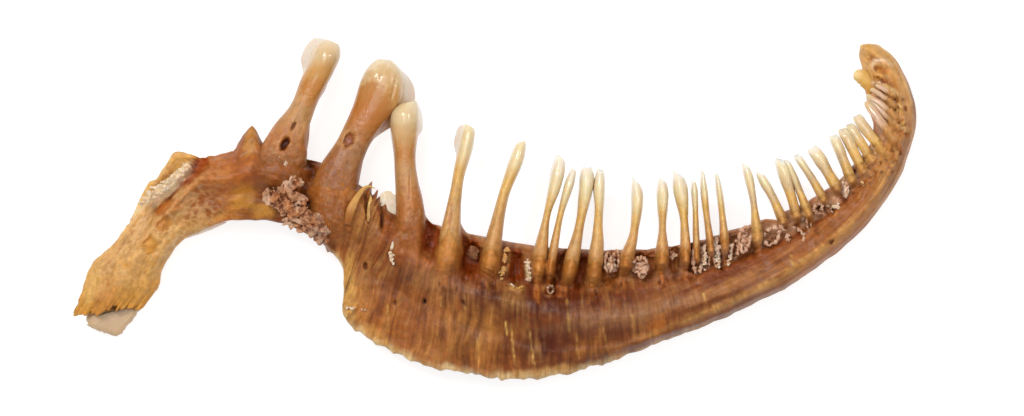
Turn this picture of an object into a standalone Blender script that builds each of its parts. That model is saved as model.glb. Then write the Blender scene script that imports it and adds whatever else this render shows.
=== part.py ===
# Pharyngeal arch of a redhorse-type sucker fish, with its comb of teeth, lying on its outer side.
# It is drawn in millimetres as seen from above: X runs from the broken front limb to the hooked
# rear tip, Y points the way the teeth point, and Z rises from the table to the viewer.

from collections import namedtuple
from math import cos, pi, sin, sqrt
import random

import bmesh
import bpy
from mathutils import Matrix, Vector

MM = 0.001
PARTING_GAP = 0.3          # between two lengths of the bone that touch
RING_SPACING = 0.72        # between two cross-sections of the bone
FIBRE_SPACING = 0.46       # the same on the deep plate, where each one is a fibre or a furrow
FIBRE_HEIGHT = 0.05        # how far the fibres of the deep plate stand out of it
FRINGE_DEPTH = 0.13        # how far the frayed lower margin steps in and out
TORN_END_DEPTH = 0.35      # how far the broken front end steps in and out
CUT_ALLOWANCE = 0.35       # stations that a length runs past its parting before it is cut
LAST_STATION = 38.0

# The two margins of the bone, by station along it: the upper one carries the teeth.
UPPER_MARGIN = {
    0: (-25.3, -6.4), 1: (-24.8, -5.2), 2: (-24.2, -3.5), 3: (-22.9, -2.1), 4: (-21.7, -0.6),
    5: (-20.8, 1.3), 6: (-20.0, 2.0), 7: (-19.3, 3.4), 8: (-18.3, 3.4), 9: (-17.5, 3.1),
    10: (-16.3, 3.2), 12: (-13.9, 3.8), 14: (-11.1, 3.0), 15: (-9.7, 2.6), 16: (-8.2, 1.5),
    18: (-6.3, 0.2), 20: (-3.8, -0.8), 22: (-0.2, -1.7), 24: (4.0, -2.3), 26: (10.0, -2.3),
    28: (15.1, -1.0), 30: (19.6, 0.9), 32: (22.4, 3.6), 33: (22.8, 4.9), 34: (22.4, 6.3),
    36: (22.1, 8.5), 37: (22.0, 9.3), 38: (22.4, 9.8),
}
LOWER_MARGIN = {
    0: (-20.8, -5.7), 1: (-20.1, -4.6), 2: (-20.0, -3.6), 4: (-19.0, -1.9), 6: (-17.7, -1.1),
    9: (-15.9, -0.6), 12: (-13.5, -0.6), 14: (-11.4, -1.3), 16: (-9.4, -3.0), 17: (-8.9, -4.5),
    18: (-8.8, -6.4), 19: (-7.7, -7.7), 21: (-3.4, -9.5), 23: (1.3, -10.2), 24: (4.1, -9.9),
    26: (10.9, -7.4), 28: (17.1, -4.9), 30: (21.7, -1.5), 32: (24.6, 2.7), 33: (25.3, 4.8),
    34: (25.3, 6.3), 36: (24.4, 8.6), 37: (23.8, 9.3), 38: (23.1, 9.8),
}

# Cross-section by station. Shares run across the bone from its lower margin to its upper one.
# edge and rim: middle height of the lower margin and top of the upper one, with their thickness.
# flange: how far the thin flange reaches in from the lower margin, and its thickness there.
# crest: the highest line of the near face. shelf: the groove of the limb, or the ledge that the
# tooth roots stand on. keel: the lowest line of the far face, which is flat where it meets zero.
Section = namedtuple(
    "Section",
    "edge edge_t flange_at flange_t crest_at crest shelf_at shelf rim rim_t keel_at keel",
)
SECTIONS = {
    0: Section(1.7, 0.55, 0.20, 1.0, 0.50, 2.4, 0.75, 2.2, 1.8, 0.6, 0.50, 1.00),
    1: Section(1.8, 0.60, 0.20, 1.3, 0.50, 2.8, 0.75, 2.4, 1.9, 0.6, 0.50, 0.20),
    2: Section(1.9, 0.70, 0.20, 1.7, 0.48, 3.1, 0.75, 2.5, 2.0, 0.6, 0.50, -0.25),
    4: Section(2.1, 0.80, 0.20, 1.9, 0.48, 3.3, 0.75, 2.4, 2.2, 0.6, 0.50, -0.20),
    6: Section(2.4, 0.70, 0.26, 1.5, 0.52, 3.5, 0.77, 2.1, 2.6, 0.7, 0.50, 0.30),
    8: Section(2.6, 0.60, 0.32, 1.1, 0.62, 3.8, 0.83, 2.6, 2.9, 0.8, 0.58, 0.60),
    10: Section(2.7, 0.60, 0.36, 1.0, 0.66, 4.0, 0.88, 3.4, 3.0, 0.9, 0.60, 0.80),
    14: Section(2.8, 0.60, 0.30, 1.1, 0.60, 4.1, 0.84, 3.7, 3.3, 1.2, 0.55, 0.80),
    17: Section(3.0, 0.60, 0.42, 1.3, 0.78, 4.4, 0.90, 4.1, 3.5, 1.4, 0.68, 0.50),
    20: Section(2.9, 0.60, 0.40, 1.5, 0.70, 4.6, 0.86, 4.0, 3.4, 1.8, 0.62, 0.10),
    23: Section(2.8, 0.60, 0.26, 1.7, 0.56, 4.6, 0.80, 3.8, 3.3, 1.9, 0.56, -0.25),
    26: Section(2.6, 1.10, 0.08, 2.2, 0.32, 4.3, 0.74, 3.6, 3.1, 1.8, 0.50, -0.20),
    29: Section(2.4, 1.30, 0.08, 2.4, 0.26, 3.9, 0.76, 3.3, 2.9, 1.7, 0.48, 0.35),
    32: Section(2.1, 1.10, 0.10, 2.0, 0.30, 3.4, 0.78, 3.0, 2.5, 1.5, 0.48, 0.45),
    34: Section(1.8, 1.00, 0.10, 1.7, 0.38, 2.9, 0.80, 2.6, 2.1, 1.3, 0.50, 0.05),
    36: Section(1.4, 0.80, 0.12, 1.3, 0.48, 2.4, 0.80, 2.1, 1.7, 1.2, 0.50, -0.25),
    38: Section(1.1, 0.70, 0.15, 0.9, 0.50, 1.9, 0.80, 1.7, 1.5, 1.0, 0.50, 0.20),
}
NEAR_SHARES = (0.0, 0.05, 0.12, 0.22, 0.33, 0.44, 0.54, 0.64, 0.74, 0.84, 0.93, 1.0)
FAR_SHARES = (1.0, 0.86, 0.72, 0.60, 0.50, 0.38, 0.24, 0.10, 0.0)
FIBROUS = {15.0: 0.0, 17.0: 1.0, 24.0: 1.0, 27.0: 0.0}   # how fibrous the bone is, by station
FIBRES_REACH = 0.6                                        # and how far across it, as a share

# Each tooth from front to rear: foot and tip of its near edge line, widths along the jaw of its
# root, neck and crown, how far its shaft bows to the rear, and where the far edge of its crown
# lies from the near one.
Tooth = namedtuple("Tooth", "foot tip root neck crown bow far_edge")
MAJOR_TEETH = (
    Tooth((-12.8, 2.6), (-9.5, 9.8), 2.5, 1.5, 1.95, -0.10, (-1.1, 0.35)),
    Tooth((-9.75, 0.4), (-6.6, 9.05), 2.6, 1.9, 2.0, 0.10, (1.7, -0.8)),
    Tooth((-5.2, -3.1), (-5.05, 6.45), 1.5, 1.15, 1.75, -0.15, (-0.4, -0.4)),
)
PLATE_TEETH = (
    Tooth((-2.75, -4.5), (-1.4, 5.05), 1.4, 0.7, 0.95, -0.28, (-0.5, -0.1)),
    Tooth((-0.3, -4.5), (1.75, 4.0), 1.15, 0.65, 0.95, -0.30, (-0.3, 0.0)),
)
MIDDLE_TEETH = (
    Tooth((2.65, -4.8), (4.2, 3.0), 0.9, 0.5, 0.82, -0.30, (-0.2, 0.1)),
    Tooth((3.4, -4.8), (4.9, 2.4), 0.6, 0.5, 0.5, -0.25, (-0.1, 0.0)),
    Tooth((4.4, -4.9), (5.7, 2.45), 0.9, 0.5, 0.82, 0.10, (-0.1, 0.1)),
    Tooth((6.0, -5.0), (6.45, 2.35), 0.9, 0.5, 0.66, 0.10, (-0.1, 0.0)),
)
COMB_TEETH = (
    Tooth((7.8, -4.2), (8.75, 1.5), 0.85, 0.5, 0.72, 0.15, (-0.25, 0.2)),
    Tooth((10.1, -4.1), (10.2, 1.75), 0.85, 0.5, 0.66, 0.0, (-0.1, 0.1)),
    Tooth((11.55, -3.95), (11.4, 1.95), 0.7, 0.5, 0.75, 0.10, (-0.3, 0.2)),
    Tooth((12.25, -3.6), (12.1, 1.75), 0.5, 0.5, 0.5, 0.0, (0.0, 0.0)),
    Tooth((13.15, -3.2), (12.6, 2.3), 0.55, 0.5, 0.5, -0.05, (-0.05, 0.05)),
    Tooth((13.95, -3.0), (13.4, 2.15), 0.6, 0.5, 0.5, 0.05, (-0.05, 0.0)),
)
REAR_TEETH = (
    Tooth((15.95, -2.6), (15.25, 2.5), 0.75, 0.5, 0.55, 0.10, (-0.2, 0.2)),
    Tooth((17.6, -1.4), (16.15, 2.05), 0.6, 0.5, 0.5, 0.10, (-0.15, 0.1)),
    Tooth((18.2, -0.9), (17.15, 2.9), 0.6, 0.5, 0.55, 0.05, (-0.1, 0.05)),
    Tooth((19.1, -0.6), (17.75, 2.85), 0.6, 0.5, 0.5, 0.10, (-0.1, 0.1)),
    Tooth((19.9, 0.3), (18.2, 3.2), 0.6, 0.5, 0.5, 0.10, (-0.1, 0.1)),
    Tooth((20.7, 0.8), (19.2, 3.6), 0.65, 0.55, 0.7, 0.10, (-0.15, 0.05)),
)
TIP_TEETH = (
    Tooth((21.5, 1.3), (20.45, 4.3), 0.6, 0.5, 0.5, 0.05, (-0.1, 0.1)),
    Tooth((22.3, 1.8), (20.95, 4.85), 0.55, 0.5, 0.5, 0.10, (-0.1, 0.05)),
    Tooth((22.95, 2.5), (21.5, 5.05), 0.55, 0.5, 0.5, 0.10, (-0.1, 0.0)),
    Tooth((23.7, 3.0), (22.0, 5.55), 0.6, 0.5, 0.55, 0.10, (-0.1, 0.0)),
    Tooth((24.1, 4.3), (22.6, 6.3), 0.55, 0.5, 0.5, 0.05, (-0.1, 0.0)),
    Tooth((24.3, 5.9), (22.6, 6.8), 0.55, 0.5, 0.5, 0.0, (-0.1, 0.0)),
    Tooth((24.4, 6.8), (22.9, 7.3), 0.5, 0.5, 0.5, 0.0, (-0.1, 0.0)),
)

# Heights and half depths of a tooth at its root, neck and crown, towards the viewer.
Depths = namedtuple("Depths", "root root_half neck neck_half crown crown_half sides")
MAJOR_DEPTHS = Depths(3.2, 1.45, 3.2, 1.1, 3.0, 1.7, 14)
PLATE_DEPTHS = Depths(3.8, 1.2, 3.6, 0.85, 3.2, 1.3, 10)
COMB_DEPTHS = Depths(3.6, 1.1, 3.5, 0.75, 3.2, 1.1, 8)
REAR_DEPTHS = Depths(3.2, 0.9, 3.2, 0.7, 3.1, 0.9, 8)
TIP_DEPTHS = Depths(2.9, 0.8, 3.1, 0.6, 3.1, 0.7, 8)
NECK_AT = 0.55
CROWN_AT = 0.86
DOME_AT = 0.93             # above this the crown closes in a dome
CUSP_SHIFT = 0.12          # how far the top of that dome leans to the front, to the crown's width
LONG_TOOTH = 4.5           # teeth longer than this have all their rings
FULL_RINGS = (0.0, 0.09, 0.2, 0.34, 0.48, 0.6, 0.71, 0.81, 0.88, 0.93, 0.975, 1.0)
SHORT_RINGS = (0.0, 0.2, 0.42, 0.62, 0.8, 0.93, 1.0)

# Where the bone is parted, as a station, and what each length is called.
LENGTHS = {
    "anterior_limb": (0.0, 12.0),
    "major_tooth_base": (12.0, 16.35),
    "deep_plate": (16.35, 22.85),
    "middle_arch": (22.85, 24.93),
    "comb_arch": (24.93, 27.6),
    "posterior_limb": (27.6, 30.75),
    "posterior_tip": (30.75, 38.0),
}

# Pores and empty tooth sockets: centre, half sizes, and turn about the line of sight in degrees.
Pore = namedtuple("Pore", "centre half turn")
LIMB_PORES = (
    Pore((-18.1, 2.5, 3.1), (0.95, 0.4, 1.0), 48.0),
    Pore((-19.7, 0.2, 3.2), (0.95, 0.4, 1.0), 38.0),
    Pore((-19.7, -0.9, 3.9), (0.5, 0.35, 0.8), 10.0),
    Pore((-20.7, -2.1, 3.6), (0.4, 0.4, 0.7), 0.0),
)
MAJOR_PORES = (
    Pore((-12.5, 3.9, 4.7), (0.55, 0.3, 0.9), 62.0),
    Pore((-11.9, 5.1, 4.5), (0.35, 0.2, 0.6), 60.0),
    Pore((-8.5, 4.2, 4.6), (0.55, 0.32, 0.8), 75.0),
    Pore((-10.0, 1.3, 4.8), (0.3, 0.22, 0.6), 90.0),
)
PLATE_PORES = (
    Pore((-3.7, -2.1, 4.3), (0.4, 0.8, 1.1), 0.0),
    Pore((-1.3, -2.9, 4.4), (0.5, 0.95, 1.1), 0.0),
)
MIDDLE_PORES = (
    Pore((1.85, -3.3, 4.5), (0.4, 1.0, 1.2), 0.0),
)

# Spongy plugs of bone left in the sockets of lost teeth: centre and half sizes.
Plug = namedtuple("Plug", "centre half")
COMB_PLUGS = (
    Plug((7.4, -3.3, 3.3), (0.32, 0.75, 0.7)),
    Plug((8.95, -3.4, 3.3), (0.4, 0.7, 0.7)),
    Plug((10.8, -2.75, 3.3), (0.25, 0.35, 0.6)),
)
REAR_PLUGS = (
    Plug((15.25, -1.8, 3.0), (0.26, 0.8, 0.7)),
    Plug((16.6, -1.8, 3.0), (0.45, 0.75, 0.7)),
    Plug((19.35, 0.1, 2.9), (0.3, 0.45, 0.6)),
)
PLUG_ROUGHNESS = 0.14

# Bony splinters: foot, tip, width at the foot, thickness, height at foot and tip.
Splinter = namedtuple("Splinter", "foot tip width thick foot_z tip_z bow")
LIMB_SPLINTERS = (
    Splinter((-14.6, 3.2), (-14.3, 5.0), 1.1, 0.8, 3.0, 2.9, 0.0),
)
PLATE_SPLINTERS = (
    Splinter((-8.1, -1.2), (-7.5, 1.4), 0.9, 0.7, 3.9, 4.2, 0.25),
    Splinter((-7.2, -1.0), (-6.95, 1.2), 0.6, 0.6, 4.0, 4.1, 0.0),
    Splinter((-6.5, -1.2), (-6.25, 1.1), 0.9, 0.6, 3.7, 3.6, 0.0),
)
TIP_SPLINTERS = (
    Splinter((22.9, 7.9), (21.9, 8.3), 0.9, 0.9, 1.7, 1.6, 0.0),
)

# Lumps of dried tissue that cling to the base of the two front teeth: centre and radius.
TISSUE_LUMPS = (
    ((-13.2, 0.6, 4.2), 0.65), ((-12.3, 1.5, 4.3), 0.7), ((-12.2, 0.5, 4.3), 0.75),
    ((-11.6, -0.4, 4.1), 0.85), ((-10.8, -0.7, 4.2), 0.8), ((-11.0, -1.5, 3.8), 0.65),
    ((-10.1, -1.5, 4.0), 0.75),
)
LUMP_ROUGHNESS = 0.2

# The pale sheet of cartilage left at the broken front end.
CARTILAGE_OUTLINE = (
    (-24.4, -6.9), (-23.4, -7.3), (-22.6, -7.5), (-21.7, -7.3), (-21.0, -6.5),
    (-20.6, -5.7), (-21.6, -5.2), (-23.4, -5.6), (-24.3, -6.2),
)
CARTILAGE_LOW, CARTILAGE_HIGH = 0.35, 0.95

BONE_COLOURS = {
    "anterior_limb": (0.58, 0.33, 0.12),
    "major_tooth_base": (0.42, 0.19, 0.07),
    "deep_plate": (0.45, 0.22, 0.09),
    "middle_arch": (0.43, 0.21, 0.09),
    "comb_arch": (0.42, 0.21, 0.09),
    "posterior_limb": (0.47, 0.24, 0.10),
    "posterior_tip": (0.55, 0.31, 0.12),
    "dried_tissue": (0.36, 0.24, 0.16),
    "symphysis_cartilage": (0.74, 0.64, 0.52),
}
BONE_ROUGHNESS = 0.45


def keyed(keys, at):
    """Value of a smooth curve through keyed numbers or points, at any place between them."""
    places = sorted(keys)
    at = min(max(at, places[0]), places[-1])
    right = next(i for i in range(1, len(places)) if at <= places[i] + 1e-9)
    window = [places[min(max(i, 0), len(places) - 1)] for i in range(right - 2, right + 2)]
    before, left, after, beyond = window
    span = after - left
    t = (at - left) / span

    def slope(low, high):
        return (Vector(keys[high]) - Vector(keys[low])) / max(high - low, 1e-9) * span

    start, end = Vector(keys[left]), Vector(keys[after])
    go, come = slope(before, after), slope(left, beyond)
    return (
        start * (2 * t**3 - 3 * t**2 + 1) + go * (t**3 - 2 * t**2 + t)
        + end * (3 * t**2 - 2 * t**3) + come * (t**3 - t**2)
    )


def eased(keys, at):
    """Value at a place between keyed numbers, with a level start and end at each key."""
    places = sorted(keys)
    if at <= places[0]:
        return keys[places[0]]
    for left, right in zip(places, places[1:]):
        if at <= right:
            t = (at - left) / (right - left)
            return keys[left] + (keys[right] - keys[left]) * (1 - cos(pi * t)) / 2
    return keys[places[-1]]


def near_height(section, share):
    keys = {
        0.0: section.edge + section.edge_t / 2,
        section.flange_at: section.edge + section.flange_t / 2,
        section.crest_at: section.crest,
        section.shelf_at: section.shelf,
        1.0: section.rim,
    }
    return eased(keys, share)


def far_height(section, share):
    keys = {
        0.0: section.edge - section.edge_t / 2,
        section.flange_at: section.edge - section.flange_t / 2,
        section.keel_at: section.keel,
        1.0: section.rim - section.rim_t,
    }
    return eased(keys, share)


def section_ring(station, step, swell=0.0):
    """Closed ring of points of one cross-section, grown outwards by swell where a cutter needs it."""
    upper = keyed(UPPER_MARGIN, station)
    lower = keyed(LOWER_MARGIN, station)
    section = Section(*keyed(SECTIONS, station))
    across = (upper - lower).normalized()
    relief = eased(FIBROUS, station) * (1 if step % 2 else -1)
    lower = lower - across * (swell + relief * FRINGE_DEPTH)
    upper = upper + across * swell
    ring = []
    for share in NEAR_SHARES:
        height = near_height(section, share) + swell
        if 0 < share < FIBRES_REACH:
            height += relief * FIBRE_HEIGHT
        ring.append((lower.lerp(upper, share), height))
    for share in FAR_SHARES:
        ring.append((lower.lerp(upper, share), far_height(section, share) - swell))
    return [Vector((flat.x, flat.y, max(height, 0.0))) for flat, height in ring]


def stations_between(start, end, spacing):
    """Stations at equal steps along the middle line of the bone."""
    fine = [start + (end - start) * i / 400 for i in range(400)] + [end]
    middle = [(keyed(UPPER_MARGIN, s) + keyed(LOWER_MARGIN, s)) / 2 for s in fine]
    run = [0.0]
    for a, b in zip(middle, middle[1:]):
        run.append(run[-1] + (b - a).length)
    steps = max(2, round(run[-1] / spacing))
    found = []
    for i in range(steps + 1):
        goal = run[-1] * i / steps
        at = next(k for k in range(len(run)) if run[k] >= goal - 1e-9)
        found.append(fine[at])
    return found


def mesh_object(name, points, faces):
    mesh = bpy.data.meshes.new(name)
    mesh.from_pydata([Vector(p) * MM for p in points], [], faces)
    made = bmesh.new()
    made.from_mesh(mesh)
    bmesh.ops.recalc_face_normals(made, faces=made.faces)
    bmesh.ops.triangulate(made, faces=[f for f in made.faces if len(f.verts) > 4])
    made.to_mesh(mesh)
    made.free()
    obj = bpy.data.objects.new(name, mesh)
    bpy.context.scene.collection.objects.link(obj)
    return obj


def tube_object(name, rings):
    """Closed tube through rings of equal count, with a flat face at each end."""
    sides = len(rings[0])
    points = [p for ring in rings for p in ring]
    faces = [
        (r * sides + i, r * sides + (i + 1) % sides,
         (r + 1) * sides + (i + 1) % sides, (r + 1) * sides + i)
        for r in range(len(rings) - 1)
        for i in range(sides)
    ]
    faces.append(tuple(range(sides)))
    faces.append(tuple((len(rings) - 1) * sides + i for i in reversed(range(sides))))
    return mesh_object(name, points, faces)


def bone_length(name, start, end, swell=0.0):
    """One length of the bone, lofted past both partings so that they can be cut clean."""
    first = max(start - CUT_ALLOWANCE, 0.0)
    last = min(end + CUT_ALLOWANCE, LAST_STATION)
    fibrous = eased(FIBROUS, (start + end) / 2) > 0.9
    places = stations_between(first, last, FIBRE_SPACING if fibrous else RING_SPACING)
    rings = [section_ring(s, i, swell) for i, s in enumerate(places)]
    if first == 0:
        draw = random.Random(7)
        along = (rings[0][4] - rings[1][4]).normalized()
        rings[0] = [p + along * draw.uniform(-1, 1) * TORN_END_DEPTH for p in rings[0]]
    obj = tube_object(name, rings)
    for parting, keep_above in ((start, True), (end, False)):
        if 0 < parting < LAST_STATION:
            part_off(obj, parting, keep_above, swell)
    return obj


def part_off(obj, station, keep_above, swell):
    """Cuts a length of bone square across at a station, half a parting gap short of it."""
    upper, lower = keyed(UPPER_MARGIN, station), keyed(LOWER_MARGIN, station)
    across = (upper - lower).normalized()
    along = Vector((across.y, -across.x))
    ahead = (keyed(UPPER_MARGIN, station + 0.1) + keyed(LOWER_MARGIN, station + 0.1)) / 2
    if (ahead - (upper + lower) / 2).dot(along) < 0:
        along = -along
    side = 1 if keep_above else -1
    place = (upper + lower) / 2 + along * side * (PARTING_GAP / 2 - swell)
    made = bmesh.new()
    made.from_mesh(obj.data)
    cut = bmesh.ops.bisect_plane(
        made,
        geom=made.verts[:] + made.edges[:] + made.faces[:],
        plane_co=Vector((place.x, place.y, 0)) * MM,
        plane_no=Vector((along.x, along.y, 0)) * side,
        clear_inner=True,
    )
    rim = [g for g in cut["geom_cut"] if isinstance(g, bmesh.types.BMEdge)]
    filled = bmesh.ops.edgeloop_fill(made, edges=rim)
    bmesh.ops.triangulate(made, faces=filled["faces"])
    bmesh.ops.recalc_face_normals(made, faces=made.faces)
    made.to_mesh(obj.data)
    made.free()


def tooth_object(name, tooth, depths, swell=0.0):
    """A tooth: a root, a waisted shaft and a rounded crown that is deep towards the viewer."""
    foot, tip = Vector(tooth.foot), Vector(tooth.tip)
    along = (tip - foot).normalized()
    sideways = Vector((along.y, -along.x))
    half_width = {
        0.0: tooth.root * 0.32, 0.16: tooth.root * 0.5, NECK_AT: tooth.neck * 0.5,
        CROWN_AT: tooth.crown * 0.5, 1.0: tooth.crown * 0.48,
    }
    half_depth = {
        0.0: depths.root_half * 0.55, 0.2: depths.root_half, NECK_AT: depths.neck_half,
        CROWN_AT: depths.crown_half, 1.0: depths.crown_half,
    }
    height = {0.0: depths.root, NECK_AT: depths.neck, CROWN_AT: depths.crown}
    lean = {0.2: 0.0, NECK_AT: 0.2, CROWN_AT: 1.0}
    rings = []
    for t in FULL_RINGS if (tip - foot).length > LONG_TOOTH else SHORT_RINGS:
        centre = foot.lerp(tip, t) + Vector((tooth.bow, 0)) * 4 * t * (1 - t)
        domed = max(t - DOME_AT, 0.0) / (1 - DOME_AT)
        dome = sqrt(1 - 0.84 * domed**2)
        centre -= sideways * tooth.crown * CUSP_SHIFT * domed
        ring = []
        for j in range(depths.sides):
            turn = 2 * pi * (j + 0.5) / depths.sides
            away = ((1 - sin(turn)) / 2) ** 1.5
            flat = centre + sideways * (cos(turn) * (eased(half_width, t) * dome + swell))
            flat += Vector(tooth.far_edge) * eased(lean, t) * away
            depth = eased(half_depth, t) * dome + swell
            ring.append((flat.x, flat.y, eased(height, t) + sin(turn) * depth))
        rings.append(ring)
    return tube_object(name, rings)


def splinter_object(name, splinter):
    """A thin tapered lath of bone that curls a little towards its tip."""
    foot, tip = Vector(splinter.foot), Vector(splinter.tip)
    along = (tip - foot).normalized()
    sideways = Vector((-along.y, along.x))
    rings = []
    for t in (0.0, 0.35, 0.7, 0.92, 1.0):
        taper = max(sqrt(1 - t * 0.97), 0.3)
        half, thick = splinter.width / 2 * taper, splinter.thick / 2 * max(taper, 0.45)
        centre = foot.lerp(tip, t) + sideways * splinter.bow * sin(pi * t)
        z = splinter.foot_z + (splinter.tip_z - splinter.foot_z) * t
        rings.append([
            (centre.x + sideways.x * u * half, centre.y + sideways.y * u * half, z + v * thick)
            for u, v in ((1, 0), (0.6, 1), (-0.6, 1), (-1, 0), (-0.6, -1), (0.6, -1))
        ])
    return tube_object(name, rings)


def pore_cutter(name, pore):
    bpy.ops.mesh.primitive_uv_sphere_add(segments=8, ring_count=6, radius=1.0)
    cutter = bpy.context.object
    cutter.name = name
    cutter.data.transform(
        Matrix.Translation(Vector(pore.centre) * MM)
        @ Matrix.Rotation(pore.turn * pi / 180, 4, "Z")
        @ Matrix.Diagonal([h * MM for h in pore.half] + [1.0])
    )
    return cutter


def combine(base, others, operation):
    """Joins closed meshes to the base, or cuts them from it, and removes them."""
    if not others:
        return
    group = bpy.data.collections.new("pieces_of_" + base.name)
    bpy.context.scene.collection.children.link(group)
    for obj in others:
        for collection in list(obj.users_collection):
            collection.objects.unlink(obj)
        group.objects.link(obj)
    modifier = base.modifiers.new("combine", "BOOLEAN")
    modifier.operation = operation
    modifier.operand_type = "COLLECTION"
    modifier.collection = group
    modifier.solver = "MANIFOLD"
    bpy.context.view_layer.objects.active = base
    bpy.ops.object.modifier_apply(modifier=modifier.name)
    for obj in others:
        bpy.data.objects.remove(obj, do_unlink=True)
    bpy.data.collections.remove(group)


def keep_largest_surface(obj):
    """Drops sealed hollows and loose scraps: only the widest closed surface stays."""
    made = bmesh.new()
    made.from_mesh(obj.data)
    bmesh.ops.triangulate(made, faces=made.faces)
    waiting = set(made.faces)
    islands = []
    while waiting:
        front = [waiting.pop()]
        island = set(front)
        while front:
            face = front.pop()
            for edge in face.edges:
                for other in edge.link_faces:
                    if other in waiting:
                        waiting.discard(other)
                        island.add(other)
                        front.append(other)
        islands.append(island)
    largest = max(islands, key=lambda faces: sum(f.calc_area() for f in faces))
    bmesh.ops.delete(made, geom=[f for f in made.faces if f not in largest], context="FACES")
    loose = [v for v in made.verts if not v.link_faces]
    bmesh.ops.delete(made, geom=loose, context="VERTS")
    made.to_mesh(obj.data)
    made.free()


def finish_node(obj):
    """Gives a node its own bone colour and smooth shading."""
    material = bpy.data.materials.new(obj.name)
    material.use_nodes = True
    shader = material.node_tree.nodes["Principled BSDF"]
    shader.inputs["Base Color"].default_value = (*BONE_COLOURS[obj.name], 1.0)
    shader.inputs["Roughness"].default_value = BONE_ROUGHNESS
    shader.inputs["Metallic"].default_value = 0.0
    obj.data.materials.clear()
    obj.data.materials.append(material)
    obj.data.shade_smooth()
    obj.data.set_sharp_from_angle(angle=pi / 5)


def lump_object(name, centre, half, roughness, draw):
    """A rough rounded lump with three half sizes."""
    bpy.ops.mesh.primitive_ico_sphere_add(subdivisions=2, radius=1.0)
    lump = bpy.context.object
    lump.name = name
    for vertex in lump.data.vertices:
        grown = vertex.co * (1 + draw.uniform(-1, 1) * roughness)
        vertex.co = (Vector(centre) + grown * Vector(half)) * MM
    return lump


def bone_node(name, teeth=(), depths=None, splinters=(), pores=(), plugs=()):
    """One length of the bone with all that grows from it fused on and its pores cut in."""
    draw = random.Random(len(name))
    node = bone_length(name, *LENGTHS[name])
    grown = [tooth_object(f"{name}_tooth_{i}", t, depths) for i, t in enumerate(teeth)]
    grown += [splinter_object(f"{name}_splinter_{i}", s) for i, s in enumerate(splinters)]
    grown += [
        lump_object(f"{name}_plug_{i}", p.centre, p.half, PLUG_ROUGHNESS, draw)
        for i, p in enumerate(plugs)
    ]
    combine(node, grown, "UNION")
    combine(node, [pore_cutter(f"{name}_pore_{i}", p) for i, p in enumerate(pores)], "DIFFERENCE")
    keep_largest_surface(node)
    finish_node(node)
    return node


def dried_tissue():
    """The clod of tissue, cut back from the bone and the two front teeth so that it meets them."""
    draw = random.Random(11)
    lumps = [
        lump_object(f"lump_{i}", centre, [radius * draw.uniform(0.85, 1.15) for _ in "xyz"],
                    LUMP_ROUGHNESS, draw)
        for i, (centre, radius) in enumerate(TISSUE_LUMPS)
    ]
    node = lumps[0]
    node.name = "dried_tissue"
    combine(node, lumps[1:], "UNION")
    start, end = LENGTHS["major_tooth_base"]
    cutters = [bone_length("clear_of_bone", start - 1.5, end + 1.0, PARTING_GAP)]
    cutters += [
        tooth_object(f"clear_of_tooth_{i}", t, MAJOR_DEPTHS, PARTING_GAP)
        for i, t in enumerate(MAJOR_TEETH)
    ]
    combine(node, cutters, "DIFFERENCE")
    keep_largest_surface(node)
    finish_node(node)
    return node


def symphysis_cartilage():
    """The thin sheet that closes the broken front end from below, cut back from the bone."""
    count = len(CARTILAGE_OUTLINE)
    rings = [
        [(x, y, height) for x, y in CARTILAGE_OUTLINE]
        for height in (CARTILAGE_LOW, CARTILAGE_HIGH)
    ]
    points = rings[0] + rings[1]
    faces = [(i, (i + 1) % count, count + (i + 1) % count, count + i) for i in range(count)]
    faces.append(tuple(range(count)))
    faces.append(tuple(count + i for i in reversed(range(count))))
    node = mesh_object("symphysis_cartilage", points, faces)
    combine(node, [bone_length("clear_of_limb", 0.0, 4.0, PARTING_GAP)], "DIFFERENCE")
    keep_largest_surface(node)
    finish_node(node)
    return node


def build():
    for obj in list(bpy.data.objects):
        bpy.data.objects.remove(obj, do_unlink=True)
    bone_node("anterior_limb", splinters=LIMB_SPLINTERS, pores=LIMB_PORES)
    bone_node("major_tooth_base", MAJOR_TEETH[:2], MAJOR_DEPTHS, pores=MAJOR_PORES)
    bone_node("deep_plate", MAJOR_TEETH[2:] + PLATE_TEETH, PLATE_DEPTHS, PLATE_SPLINTERS, PLATE_PORES)
    bone_node("middle_arch", MIDDLE_TEETH, COMB_DEPTHS, pores=MIDDLE_PORES)
    bone_node("comb_arch", COMB_TEETH, COMB_DEPTHS, plugs=COMB_PLUGS)
    bone_node("posterior_limb", REAR_TEETH, REAR_DEPTHS, plugs=REAR_PLUGS)
    bone_node("posterior_tip", TIP_TEETH, TIP_DEPTHS, TIP_SPLINTERS)
    dried_tissue()
    symphysis_cartilage()


build()
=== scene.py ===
# Throat bone of a sucker fish with its comb of teeth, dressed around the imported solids.
# Shapes are drawn in millimetres as the camera sees them: X to the hooked rear tip, Y the way
# the teeth point, Z up to the viewer.
import math

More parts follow.
